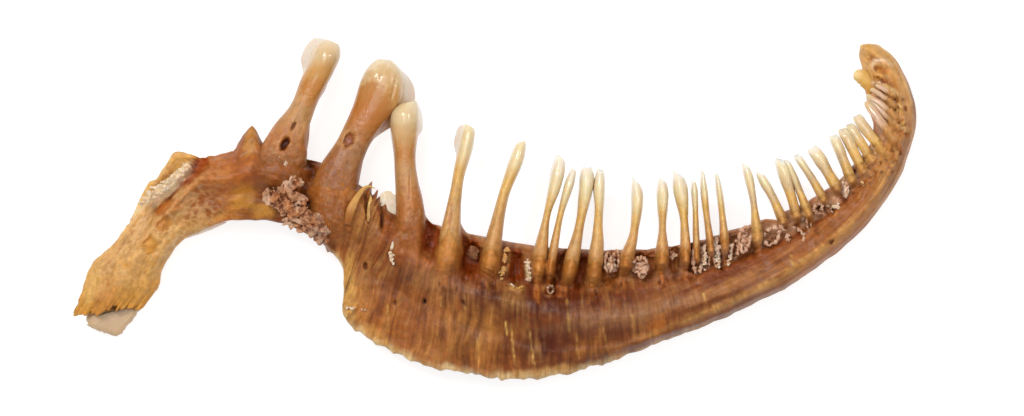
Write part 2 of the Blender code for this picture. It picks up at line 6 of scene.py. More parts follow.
import bpy
import numpy as np
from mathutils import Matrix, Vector


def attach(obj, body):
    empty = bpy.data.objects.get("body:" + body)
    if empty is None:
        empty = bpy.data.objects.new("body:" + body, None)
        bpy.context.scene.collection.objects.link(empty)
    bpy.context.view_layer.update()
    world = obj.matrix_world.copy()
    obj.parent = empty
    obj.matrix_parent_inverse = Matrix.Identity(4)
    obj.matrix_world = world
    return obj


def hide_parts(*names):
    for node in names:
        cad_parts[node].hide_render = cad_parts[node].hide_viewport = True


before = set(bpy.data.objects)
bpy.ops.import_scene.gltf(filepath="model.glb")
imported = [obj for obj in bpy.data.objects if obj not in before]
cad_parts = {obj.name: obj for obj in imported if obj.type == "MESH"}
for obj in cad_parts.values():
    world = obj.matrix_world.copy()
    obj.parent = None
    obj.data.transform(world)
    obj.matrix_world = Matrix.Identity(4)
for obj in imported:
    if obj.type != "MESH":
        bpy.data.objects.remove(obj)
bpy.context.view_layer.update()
print("frame loaded,", len(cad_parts), "nodes")

mm = 0.001

# Colours of the dry bone in daylight, each named for where it is seen; a few also stand for painted sheen,
# shade and shadow.
palette = {
    "honey": (196, 149, 88), "amber": (186, 124, 56), "tan": (156, 94, 44), "brown": (130, 70, 28),
    "mud": (124, 68, 34), "umber": (100, 50, 22), "russet": (130, 58, 24), "socketRed": (132, 56, 12),
    # ash is a grey of the bone, and is also laid on the plate as a painted sheen band
    "orange": (196, 112, 30), "ash": (146, 104, 74), "chalk": (232, 216, 196), "cream": (226, 204, 160),
    "paleGold": (212, 170, 96), "gold": (200, 144, 62), "ochre": (188, 130, 44), "plum": (82, 32, 16),
    "groove": (154, 70, 28), "flap": (224, 212, 204), "plug": (232, 204, 178), "crown": (224, 206, 166),
    "stem": (196, 148, 86), "root": (184, 122, 56), "bulb": (158, 92, 44), "milk": (228, 218, 202),
    # the dark tissue colour is also laid as painted shade in the hollows of the dried tissue
    "tissue": (188, 136, 98), "tissueDarkAndShade": (100, 46, 22), "gristle": (192, 164, 130),
    "lightTan": (186, 130, 76), "toothBrown": (172, 104, 50), "goldenStrand": (190, 138, 78),
    "darkStrand": (92, 42, 16), "paleCrown": (218, 200, 168), "bore": (100, 40, 14), "pitch": (44, 20, 10),
    # the lilac of the sheet under the front limb is a painted shadow
    "paleHoney": (206, 160, 100), "paintedShadowLilac": (226, 216, 226), "netting": (228, 192, 142),
    "dusky": (170, 104, 42), "rootTan": (144, 84, 32), "honeyStem": (187, 138, 84), "ember": (182, 106, 40),
    "burnt": (168, 94, 34), "poreOrange": (142, 72, 24), "amberGlow": (184, 116, 48),
    "driedGrey": (160, 134, 116), "rimTan": (212, 174, 148), "paleStem": (208, 180, 138),
    "chalkTan": (220, 198, 170),
}


def paint(name):
    # linear value of a palette colour, by the curve of a screen
    c = np.array(palette[name]) / 255
    return np.where(c <= 0.04045, c / 12.92, ((c + 0.055) / 1.055) ** 2.4)


def smooth(low, high, x):
    t = np.clip((x - low) / (high - low), 0, 1)
    return t * t * (3 - 2 * t)


def eased(keys, at):
    # between keys a cosine, level at every key
    keyAt = np.array(sorted(keys), float)
    values = np.array([keys[k] for k in sorted(keys)], float)
    at = np.clip(np.asarray(at, float), keyAt[0], keyAt[-1])
    i = np.clip(np.searchsorted(keyAt, at, side="right") - 1, 0, len(keyAt) - 2)
    t = (1 - np.cos(np.pi * (at - keyAt[i]) / (keyAt[i + 1] - keyAt[i]))) / 2
    if values.ndim > 1:
        t = t[..., None]
    return values[i] + (values[i + 1] - values[i]) * t


def graded(colours, at):
    # palette colours named at keys, eased from one to the next
    return eased({k: paint(name) for k, name in colours.items()}, at)


def curved(keys, at):
    # a flowing curve through keyed numbers or points
    keyAt = np.array(sorted(keys), float)
    values = np.array([keys[k] for k in sorted(keys)], float).reshape(len(keyAt), -1)
    last = len(keyAt) - 1
    ahead = np.minimum(np.arange(last + 1) + 1, last)
    behind = np.maximum(np.arange(last + 1) - 1, 0)
    slopes = (values[ahead] - values[behind]) / (keyAt[ahead] - keyAt[behind])[:, None]
    at = np.clip(np.atleast_1d(np.asarray(at, float)), keyAt[0], keyAt[-1])
    i = np.clip(np.searchsorted(keyAt, at, side="right") - 1, 0, last - 1)
    span = (keyAt[i + 1] - keyAt[i])[:, None]
    t = (at[:, None] - keyAt[i][:, None]) / span
    return (
        values[i] * (2 * t**3 - 3 * t**2 + 1) + slopes[i] * span * (t**3 - 2 * t**2 + t)
        + values[i + 1] * (3 * t**2 - 2 * t**3) + slopes[i + 1] * span * (t**3 - t**2)
    )


def through(keyAt, values, at):
    # a flowing curve through values that stand at given places of a line
    return curved(dict(zip(keyAt, values)), at)


def keyPlaces(line):
    # how far along a line each of its points is, from 0 to 1, and the length of the line
    steps = np.linalg.norm(np.diff(line, axis=0), axis=1)
    return np.concatenate([[0], np.cumsum(steps)]) / steps.sum(), steps.sum()


def heading(keyAt, line, t, step):
    # the way that a line runs at t, and the way square to it
    lean = through(keyAt, line, np.clip(t + step, 0, 1)) - through(keyAt, line, np.clip(t - step, 0, 1))
    lean /= np.linalg.norm(lean, axis=1)[:, None]
    return lean, np.column_stack([lean[:, 1], -lean[:, 0]])


def roughness(u, v, seed):
    # smooth random relief from -1 to 1, one unit from crest to crest
    tile = 128
    table = np.random.default_rng(seed).uniform(-1, 1, (tile, tile))
    i, j = np.floor(u).astype(int), np.floor(v).astype(int)
    s, t = smooth(0, 1, u - i), smooth(0, 1, v - j)
    near = table[i % tile, j % tile] * (1 - s) + table[(i + 1) % tile, j % tile] * s
    far = table[i % tile, (j + 1) % tile] * (1 - s) + table[(i + 1) % tile, (j + 1) % tile] * s
    return near * (1 - t) + far * t


def relief(u, v, layers, start=0, seed=0):
    # layers of roughness: crest to crest along u and along v, height, seed
    for wide, long, tall, own in layers:
        start = start + roughness(u / wide, v / long, own + seed) * tall
    return start


def inside(flat, oval, edge, ragged):
    # 1 in the middle of an oval spot, 0 outside it
    turn = math.radians(oval["turn"])
    off = flat - np.array(oval["at"])
    u = (off[:, 0] * math.cos(turn) + off[:, 1] * math.sin(turn)) / oval["reach"][0]
    v = (off[:, 1] * math.cos(turn) - off[:, 0] * math.sin(turn)) / oval["reach"][1]
    return 1 - smooth(1 - edge, 1 + edge, np.sqrt(u * u + v * v) + ragged)


def spot(x, y, long, wide, turn, colour, strength):
    return dict(at=(x, y), reach=(long, wide), turn=turn, colour=colour, strength=strength)


def pitAt(x, y, long, wide, turn, colour, strength, deep):
    return dict(spot(x, y, long, wide, turn, colour, strength), deep=deep)


def seamAlong(line, wide, tall, colour):
    return dict(line=line, wide=wide, tall=tall, colour=colour)


def awayFrom(flat, track, reach):
    # the points within reach of a track, and how far each is from every place on it
    low, high = track.min(0) - reach, track.max(0) + reach
    close = np.nonzero(((flat > low) & (flat < high)).all(1))[0]
    return close, np.linalg.norm(flat[close, None] - track[None], axis=2)


def nearLine(flat, line, count=30, reach=1.6):
    # distance to a flowing line, and a weight that fades out towards its ends
    run = np.linspace(0, 1, count)
    close, away = awayFrom(flat, through(np.linspace(0, 1, len(line)), line, run), reach)
    run = run[away.argmin(1)]
    return close, away.min(1), smooth(0, 0.2, run) * (1 - smooth(0.8, 1, run))


def blendPaint(tint, *coats):
    # coats of colour, each a weight and a name
    for weight, colour in coats:
        tint = tint + (paint(colour) - tint) * weight[:, None]
    return tint


# Pieces: blanks by hand, then laid
def onlyThis(piece):
    bpy.ops.object.select_all(action="DESELECT")
    piece.select_set(True)
    bpy.context.view_layer.objects.active = piece


def pointsOf(piece, what="co"):
    co = np.zeros(len(piece.data.vertices) * 3)
    piece.data.vertices.foreach_get(what, co)
    return co.reshape(-1, 3)


def edgeEnds(piece):
    ends = np.zeros(len(piece.data.edges) * 2, int)
    piece.data.edges.foreach_get("vertices", ends)
    return ends.reshape(-1, 2)


def selectEdges(piece, test):
    # in edit mode, with only the edges picked whose two ends pass the test
    onlyThis(piece)
    bpy.ops.object.mode_set(mode="EDIT")
    bpy.ops.mesh.select_mode(type="EDGE")
    bpy.ops.mesh.select_all(action="DESELECT")
    bpy.ops.object.mode_set(mode="OBJECT")
    co, ends = pointsOf(piece), edgeEnds(piece)
    piece.data.edges.foreach_set("select", test(co[ends[:, 0]], co[ends[:, 1]]))
    bpy.ops.object.mode_set(mode="EDIT")


def tubeBlank(name, sides, cuts):
    # a closed cylinder cut into rings one unit apart, and the ring and side of each of its points
    rings = math.prod(c + 1 for c in cuts)
    bpy.ops.object.select_all(action="DESELECT")
    bpy.ops.mesh.primitive_cylinder_add(vertices=sides, radius=1, depth=rings, location=(0, 0, 0))
    blank = bpy.context.object
    blank.name = name
    for cut in cuts:
        selectEdges(blank, lambda a, b: np.abs(a[:, 2] - b[:, 2]) > 0.01)
        bpy.ops.mesh.subdivide(number_cuts=cut)
        bpy.ops.object.mode_set(mode="OBJECT")
    co = pointsOf(blank)
    ring = np.rint(co[:, 2] - co[:, 2].min()).astype(int)
    turn = np.arctan2(co[:, 1], co[:, 0])
    side = np.rint((turn - turn[0]) / (2 * np.pi / sides)).astype(int) % sides
    return blank, ring, side


def copyOf(blank, name):
    piece = blank.copy()
    piece.data = blank.data.copy()
    piece.name = name
    bpy.context.scene.collection.objects.link(piece)
    return piece


def layPoints(piece, points):
    # places in millimetres go into the mesh, and the faces are turned outwards
    piece.data.vertices.foreach_set("co", (points * mm).astype(np.float32).ravel())
    piece.data.update()
    onlyThis(piece)
    bpy.ops.object.mode_set(mode="EDIT")
    bpy.ops.mesh.select_all(action="SELECT")
    bpy.ops.mesh.normals_make_consistent(inside=False)
    bpy.ops.object.mode_set(mode="OBJECT")
    bpy.ops.object.shade_smooth()


def shapeWith(piece, kind, **settings):
    # a modifier is set and applied
    modifier = piece.modifiers.new(kind.lower(), kind)
    for name, value in settings.items():
        setattr(modifier, name, value)
    bpy.ops.object.modifier_apply(modifier=modifier.name)


def setTint(piece, tint):
    layer = piece.data.attributes.new("tint", "FLOAT_COLOR", "POINT")
    full = np.concatenate([np.clip(tint, 0, 1), np.ones((len(tint), 1))], 1)
    layer.data.foreach_set("color", full.astype(np.float32).ravel())


def setFinish(piece, along, across, grain=0, streaks=0.5, fibres=0, grit=1, glaze=0):
    # numbers that the finish reads at every point
    numbers = dict(along=along, across=across, grain=grain, streaks=streaks, fibres=fibres, grit=grit,
                   glaze=glaze)
    for name, values in numbers.items():
        layer = piece.data.attributes.new(name, "FLOAT", "POINT")
        layer.data.foreach_set("value", (np.zeros(len(piece.data.vertices)) + values).astype(np.float32))


def dress(piece, material, body="root"):
    piece.data.materials.clear()
    piece.data.materials.append(material)
    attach(piece, body)
    return piece


# Materials
def boneMaterial(name, look):
    # tint attribute, streaked along the fibres, with speckles, bump and light passing through
    material = bpy.data.materials.new(name)
    material.use_nodes = True
    nodes, links = material.node_tree.nodes, material.node_tree.links

    def feed(node, inputs):
        # each input is joined to a socket or set to a value
        for name, given in inputs.items():
            if isinstance(given, bpy.types.NodeSocket):
                links.new(given, node.inputs[name])
            else:
                node.inputs[name].default_value = given

    def added(kind, outlet, inputs, **settings):
        # a new node, and the socket that it gives
        node = nodes.new("ShaderNode" + kind)
        for name, value in settings.items():
            setattr(node, name, value)
        feed(node, inputs)
        return node.outputs[outlet]

    def reading(attribute, outlet="Fac"):
        return added("Attribute", outlet, {}, attribute_name=attribute)

    def mixed(factor, first, second, **settings):
        return added("Mix", "Result", {"Factor": factor, "A": first, "B": second}, **settings)

    def fading(attribute, plain, factor):
        # plain where the attribute is 0, the factor where it is 1
        return mixed(reading(attribute), plain, factor)

    def noise(place, scale, detail, rough):
        return added("TexNoise", "Fac", {
            "Vector": place, "Scale": scale, "Detail": detail, "Roughness": rough})

    def multiplied(vector, by):
        return added("VectorMath", 0, {0: vector, 1: by}, operation="MULTIPLY")

    def scaled(colour, factor):
        return added("VectorMath", 0, {0: colour, "Scale": factor}, operation="SCALE")

    def ranged(source, low, high, fromLow=0.3, fromHigh=0.7):
        return added("MapRange", "Result", {
            "Value": source, "From Min": fromLow, "From Max": fromHigh, "To Min": low, "To Max": high})

    def stretched(first, second, fine, long):
        place = added("CombineXYZ", 0, {0: reading(first), 1: reading(second)})
        return noise(multiplied(place, (fine, long, 1)), 1, look["streakDetail"], 0.6)

    across = stretched("along", "across", look["fine"], look["long"])
    lengthwise = stretched("across", "along", look["fine"], look["long"])
    streak = fading("streaks", 0.5, mixed(reading("grain"), across, lengthwise))
    thread = stretched("along", "across", look["threadFine"], look["threadLong"])
    speck = noise(added("TexCoord", "Object", {}), look["speckScale"], 4, 0.65)

    tint = reading("tint", "Color")
    shade = mixed(ranged(streak, 0, 1), multiplied(tint, look["dark"]), multiplied(tint, look["light"]),
                  data_type="RGBA")
    light = ranged(thread, 1, 1 + look["threadGain"], 0.55, 0.66)
    crack = ranged(thread, 1 - look["crack"], 1, 0.34, 0.43)
    threads = scaled(scaled(shade, fading("fibres", 1, light)), fading("fibres", 1, crack))

    streakHeight = ranged(streak, 0, look["streakRelief"])
    speckHeight = ranged(speck, 0, 1 - look["streakRelief"])
    height = added("Math", 0, {0: streakHeight, 1: speckHeight}, operation="ADD")
    bump = {"Strength": 1, "Distance": look["bump"] * mm, "Height": fading("grit", 0.5, height)}
    feed(nodes["Principled BSDF"], {
        "Base Color": scaled(threads, fading("grit", 1, ranged(speck, *look["speck"]))),
        "Normal": added("Bump", "Normal", bump),
        "Roughness": fading("glaze", ranged(speck, *look["gloss"]), look["glazed"]),
        "Subsurface Weight": look["through"], "Subsurface Radius": (1.0, 0.55, 0.28),
        "Subsurface Scale": look["depth"] * mm, "IOR": 1.5, "Specular IOR Level": look["shine"],
        "Coat Weight": look["coat"], "Coat Roughness": look["coatRoughness"], "Coat IOR": 1.65,
    })
    return material


# streaks and threads: crests for each mm across and along; their shades; relief, gloss and depth in mm
looks = {
    "bone": dict(
        fine=4.5, long=0.45, streakDetail=5, threadFine=7.0, threadLong=0.4, threadGain=0.28, crack=0.22,
        speckScale=2800, speck=(0.8, 1.18), dark=(0.76, 0.66, 0.48), light=(1.2, 1.17, 1.06),
        streakRelief=0.6, bump=0.07, gloss=(0.34, 0.5), glazed=0.2, shine=0.22, through=0.3, depth=0.7,
        coat=0.04, coatRoughness=0.2,
    ),
    "tooth": dict(
        fine=3.0, long=0.3, streakDetail=3, threadFine=6.0, threadLong=0.4, threadGain=0.06, crack=0.05,
        speckScale=2800, speck=(0.8, 1.18), dark=(0.9, 0.86, 0.78), light=(1.07, 1.08, 1.09),
        streakRelief=0.25, bump=0.06, gloss=(0.36, 0.52), glazed=0.13, shine=0.5, through=0.4, depth=0.9,
        coat=0.04, coatRoughness=0.1,
    ),
    "spongy": dict(
        fine=3.0, long=1.2, streakDetail=5, threadFine=5.0, threadLong=2.0, threadGain=0.2, crack=0.2,
        speckScale=5200, speck=(0.8, 1.15), dark=(0.85, 0.78, 0.7), light=(1.1, 1.1, 1.1), streakRelief=0.3,
        bump=0.05, gloss=(0.6, 0.8), glazed=0.3, shine=0.2, through=0.35, depth=0.4, coat=0.0,
        coatRoughness=0.4,
    ),
    "tissue": dict(
        fine=2.5, long=2.5, streakDetail=5, threadFine=4.0, threadLong=4.0, threadGain=0.3, crack=0.3,
        speckScale=3600, speck=(0.75, 1.25), dark=(0.8, 0.72, 0.66), light=(1.18, 1.16, 1.14),
        streakRelief=0.3, bump=0.08, gloss=(0.5, 0.8), glazed=0.3, shine=0.35, through=0.2, depth=0.4,
        coat=0.0, coatRoughness=0.4,
    ),
    "gristle": dict(
        fine=2.0, long=0.6, streakDetail=3, threadFine=3.0, threadLong=1.0, threadGain=0.05, crack=0.03,
        speckScale=1500, speck=(0.94, 1.05), dark=(0.92, 0.9, 0.88), light=(1.06, 1.06, 1.06),
        streakRelief=0.4, bump=0.03, gloss=(0.4, 0.55), glazed=0.3, shine=0.35, through=0.5, depth=1.0,
        coat=0.1, coatRoughness=0.3,
    ),
}
finishes = {name: boneMaterial(name, look) for name, look in looks.items()}
print("materials made")

# The teeth: a line from root to tip, widths along the jaw there, half depths and heights
families = {
    "major": dict(sides=88, cuts=(87,), deep=(1.3, 1.4, 1.15, 1.5, 1.55), high=(3.0, 3.2, 3.2, 3.05, 3.0),
                  colours={0: "tan", 0.2: "rootTan", 0.36: "dusky", 0.55: "honeyStem", 0.68: "amber",
                           0.8: "stem", 0.9: "paleStem", 1: "paleCrown"}),
    "plate": dict(sides=32, cuts=(47,), deep=(1.1, 1.2, 0.8, 1.2, 1.1), high=(3.7, 3.8, 3.6, 3.25, 3.2),
                  colours={0: "bulb", 0.15: "root", 0.45: "stem", 0.7: "paleGold", 0.88: "crown"}),
    "comb": dict(sides=28, cuts=(35,), deep=(0.9, 1.05, 0.7, 1.0, 0.8), high=(3.5, 3.6, 3.5, 3.25, 3.2),
                 colours={0.2: "root", 0.4: "paleHoney", 0.6: "paleGold", 0.82: "crown", 1: "milk"}),
    "rear": dict(sides=24, cuts=(27,), deep=(0.8, 0.9, 0.65, 0.8, 0.6), high=(3.2, 3.25, 3.2, 3.1, 3.1),
                 colours={0: "root", 0.2: "stem", 0.42: "paleGold", 0.62: "paleStem", 0.85: "crown",
                          1: "milk"}),
    "tip": dict(sides=20, cuts=(23,), deep=(0.5, 0.6, 0.4, 0.35, 0.25), high=(2.7, 2.85, 2.85, 2.8, 2.75),
                colours={0: "root", 0.25: "stem", 0.5: "paleGold", 0.78: "paleStem", 1: "paleCrown"}),
    "strip": dict(sides=20, cuts=(23,), deep=(0.15, 0.25, 0.22, 0.2, 0.15), high=(3.3, 3.3, 3.05, 2.78, 2.6),
                  colours={0.3: "honeyStem", 0.75: "rimTan", 1: "paleStem"}),
}


def tooth(family, line, wide, far, cusp, blunt, notch=0.0, pores=()):
    # far: where the crown's far side stands out; cusp, blunt and notch: slant, width and dip of its top
    if family in ("comb", "rear"):
        wide = (wide[0] * 0.5, *wide[1:])       # their roots taper
    return dict(family=family, line=line, wide=wide, far=far, cusp=cusp, blunt=blunt, notch=notch,
                pores=pores)


teeth = [
    tooth("major", [(-12.6, 0.6), (-12.6, 3.2), (-11.5, 6.0), (-10.3, 8.5), (-9.62, 10.06)],
          (2.6, 2.9, 1.5, 1.65, 1.7), (-0.68, 0.1), 0.0, 0.5,
          pores=[pitAt(-12.45, 3.95, 0.4, 0.25, 62, "bore", 1, 0.7),
                 pitAt(-11.93, 5.0, 0.24, 0.11, 60, "bore", 0.8, 0.25),
                 pitAt(-10.75, 7.0, 0.7, 0.45, 66, "amber", 0.5, 0.0)]),
    tooth("major", [(-9.0, -2.4), (-9.55, 0.9), (-8.32, 4.1), (-6.75, 7.1), (-6.5, 9.0)],
          (2.0, 2.8, 1.8, 2.7, 2.0), (0.75, -0.7, 0.3), 0.0, 0.4,
          pores=[pitAt(-8.6, 4.2, 0.5, 0.3, 70, "poreOrange", 1, 0.34),
                 pitAt(-5.95, 7.2, 0.75, 0.07, 78, "stem", 0.35, 0.1),
                 pitAt(-5.45, 6.9, 0.65, 0.06, 84, "stem", 0.35, 0.1),
                 pitAt(-6.55, 8.3, 0.5, 0.06, 60, "paleCrown", 0.4, 0.06),
                 pitAt(-6.8, 7.5, 1.1, 0.8, 70, "stem", 0.35, 0.0),
                 pitAt(-8.9, 1.2, 3.0, 1.7, 78, "brown", 0.5, 0.0),
                 pitAt(-7.5, 5.9, 1.8, 1.4, 68, "burnt", 0.5, 0.0)]),
    tooth("major", [(-5.25, -3.3), (-4.95, -0.6), (-5.29, 2.7), (-5.33, 5.2), (-5.12, 6.42)],
          (1.5, 1.8, 1.25, 1.8, 1.5), (0.26, -0.45), -0.2, 0.66,
          pores=[pitAt(-5.25, 5.75, 0.7, 0.9, 88, "crown", 0.4, 0.0),
                 pitAt(-5.3, 5.35, 1.05, 0.9, 88, "crown", 0.25, 0.0),
                 pitAt(-5.3, 5.0, 1.5, 0.9, 88, "paleStem", 0.2, 0.0),
                 pitAt(-5.0, 1.4, 0.8, 0.05, 88, "toothBrown", 0.6, 0.08)]),
    tooth("plate", [(-2.7, -4.5), (-2.67, -2.6), (-2.19, 1.3), (-1.6, 3.9), (-1.37, 5.0)],
          (1.1, 1.38, 0.7, 0.9, 0.76), (-0.42, -0.1), 0.08, 0.72,
          pores=[pitAt(-2.58, -0.6, 1.2, 0.07, 85, "toothBrown", 0.65, 0.1)]),
    tooth("plate", [(-0.2, -4.55), (-0.15, -3.1), (0.57, 0.6), (1.44, 3.0), (1.74, 4.08)],
          (0.9, 1.14, 0.64, 0.86, 0.62), (-0.06, 0.0), -0.1, 0.55),
    tooth("comb", [(2.64, -4.85), (2.8, -3.0), (3.22, -0.4), (3.86, 1.95), (4.08, 3.14)],
          (0.7, 0.92, 0.43, 0.82, 0.62), (-0.1, 0.05), 0.12, 0.6),
    tooth("comb", [(3.36, -4.85), (3.48, -3.3), (4.03, -0.35), (4.57, 1.5), (4.87, 2.45)],
          (0.45, 0.55, 0.4, 0.58, 0.32), (-0.04, 0.0), 0.05, 0.3),
    tooth("comb", [(4.2, -4.95), (4.6, -3.5), (5.24, -0.75), (5.62, 1.6), (5.66, 2.5)],
          (0.6, 0.92, 0.53, 0.9, 0.68), (-0.06, 0.05), 0.02, 0.72, 0.05),
    tooth("comb", [(5.95, -5.1), (6.15, -3.15), (6.33, -0.6), (6.38, 1.4), (6.46, 2.38)],
          (0.7, 0.92, 0.52, 0.7, 0.46), (-0.05, 0.0), 0.04, 0.6, 0.06),
    tooth("comb", [(7.8, -4.2), (7.98, -3.1), (8.44, -1.4), (8.66, 0.75), (8.55, 1.7)],
          (0.6, 0.86, 0.52, 0.76, 0.42), (-0.06, 0.1), 0.16, 0.2),
    tooth("comb", [(10.14, -4.05), (10.14, -2.8), (10.16, -1.1), (10.18, 0.85), (10.14, 1.8)],
          (0.6, 0.84, 0.45, 0.72, 0.46), (-0.05, 0.05), 0.08, 0.4),
    tooth("comb", [(11.58, -3.95), (11.55, -2.7), (11.46, -0.75), (11.25, 1.25), (11.05, 2.15)],
          (0.5, 0.66, 0.48, 0.88, 0.55), (-0.06, 0.1), 0.16, 0.5),
    tooth("comb", [(12.25, -3.7), (12.21, -2.9), (12.14, -0.15), (12.08, 1.05), (12.04, 1.72)],
          (0.35, 0.42, 0.33, 0.42, 0.2), (-0.04, 0.0), 0.08, 0.2),
    tooth("comb", [(13.15, -3.3), (13.08, -2.5), (12.8, -0.3), (12.66, 1.1), (12.56, 2.34)],
          (0.38, 0.46, 0.38, 0.44, 0.2), (-0.04, 0.05), 0.06, 0.2),
    tooth("comb", [(13.86, -3.15), (13.89, -2.2), (13.73, -0.3), (13.56, 1.2), (13.4, 2.16)],
          (0.42, 0.56, 0.4, 0.4, 0.22), (-0.03, 0.0), 0.05, 0.2),
    tooth("rear", [(15.84, -2.6), (15.84, -1.7), (15.65, 0.25), (15.38, 1.8), (15.12, 2.68)],
          (0.5, 0.72, 0.42, 0.56, 0.42), (-0.05, 0.05), 0.14, 0.2),
    tooth("rear", [(17.6, -1.3), (17.35, -0.6), (16.79, 0.71), (16.31, 1.55), (15.97, 2.17)],
          (0.5, 0.6, 0.5, 0.58, 0.38), (-0.06, 0.05), 0.12, 0.2),
    tooth("rear", [(18.3, -1.0), (18.2, -0.4), (17.9, 0.76), (17.5, 2.1), (17.22, 2.92)],
          (0.5, 0.62, 0.56, 0.8, 0.62), (-0.06, 0.1), 0.1, 0.55, 0.06),
    tooth("rear", [(19.1, -0.9), (18.85, -0.1), (18.46, 0.88), (17.98, 2.1), (17.63, 2.93)],
          (0.48, 0.55, 0.46, 0.45, 0.3), (-0.04, 0.05), 0.08, 0.4, 0.05),
    tooth("rear", [(20.05, 0.0), (19.72, 0.78), (19.2, 1.73), (18.66, 2.56), (18.24, 3.22)],
          (0.48, 0.55, 0.47, 0.5, 0.44), (-0.04, 0.05), 0.06, 0.6, 0.08),
    tooth("rear", [(20.8, 0.75), (20.53, 1.45), (20.09, 2.2), (19.57, 3.06), (19.16, 3.66)],
          (0.55, 0.68, 0.66, 0.8, 0.76), (-0.04, 0.05), 0.04, 0.7, 0.07),
    tooth("rear", [(21.7, 1.2), (21.47, 1.8), (21.1, 2.74), (20.74, 3.64), (20.44, 4.42)],
          (0.5, 0.62, 0.6, 0.68, 0.6), (-0.04, 0.05), 0.05, 0.6, 0.08),
    tooth("tip", [(22.4, 1.75), (22.18, 2.34), (21.8, 3.14), (21.34, 4.14), (20.98, 4.76)],
          (0.45, 0.6, 0.62, 0.7, 0.64), (-0.04, 0.05), 0.05, 0.6, 0.1),
    tooth("tip", [(23.0, 2.5), (22.7, 3.0), (22.28, 3.66), (21.82, 4.42), (21.42, 5.06)],
          (0.45, 0.6, 0.6, 0.64, 0.58), (-0.04, 0.05), 0.05, 0.6, 0.08),
    tooth("tip", [(23.8, 2.9), (23.4, 3.5), (22.95, 4.1), (22.32, 4.9), (21.85, 5.58)],
          (0.5, 0.62, 0.6, 0.68, 0.62), (-0.04, 0.05), 0.03, 0.7, 0.05),
    tooth("strip", [(24.35, 3.75), (24.05, 4.2), (23.34, 5.2), (22.75, 6.0), (22.42, 6.5)],
          (0.5, 0.6, 0.55, 0.52, 0.45), (-0.03, 0.0), 0.0, 0.5),
    tooth("strip", [(24.5, 5.2), (24.1, 5.55), (23.45, 6.2), (22.85, 6.6), (22.45, 6.9)],
          (0.4, 0.42, 0.38, 0.34, 0.26), (-0.03, 0.0), 0.0, 0.5),
    tooth("strip", [(24.3, 6.1), (24.0, 6.3), (23.6, 6.65), (23.1, 7.0), (22.7, 7.25)],
          (0.34, 0.38, 0.34, 0.3, 0.24), (-0.03, 0.0), 0.0, 0.5),
    tooth("strip", [(24.55, 4.55), (24.2, 4.95), (23.5, 5.72), (22.95, 6.3), (22.55, 6.68)],
          (0.3, 0.36, 0.32, 0.3, 0.22), (-0.03, 0.0), 0.0, 0.5),
    tooth("strip", [(24.2, 6.75), (23.95, 6.9), (23.6, 7.12), (23.25, 7.32), (23.0, 7.5)],
          (0.26, 0.32, 0.3, 0.26, 0.2), (-0.03, 0.0), 0.0, 0.5),
]


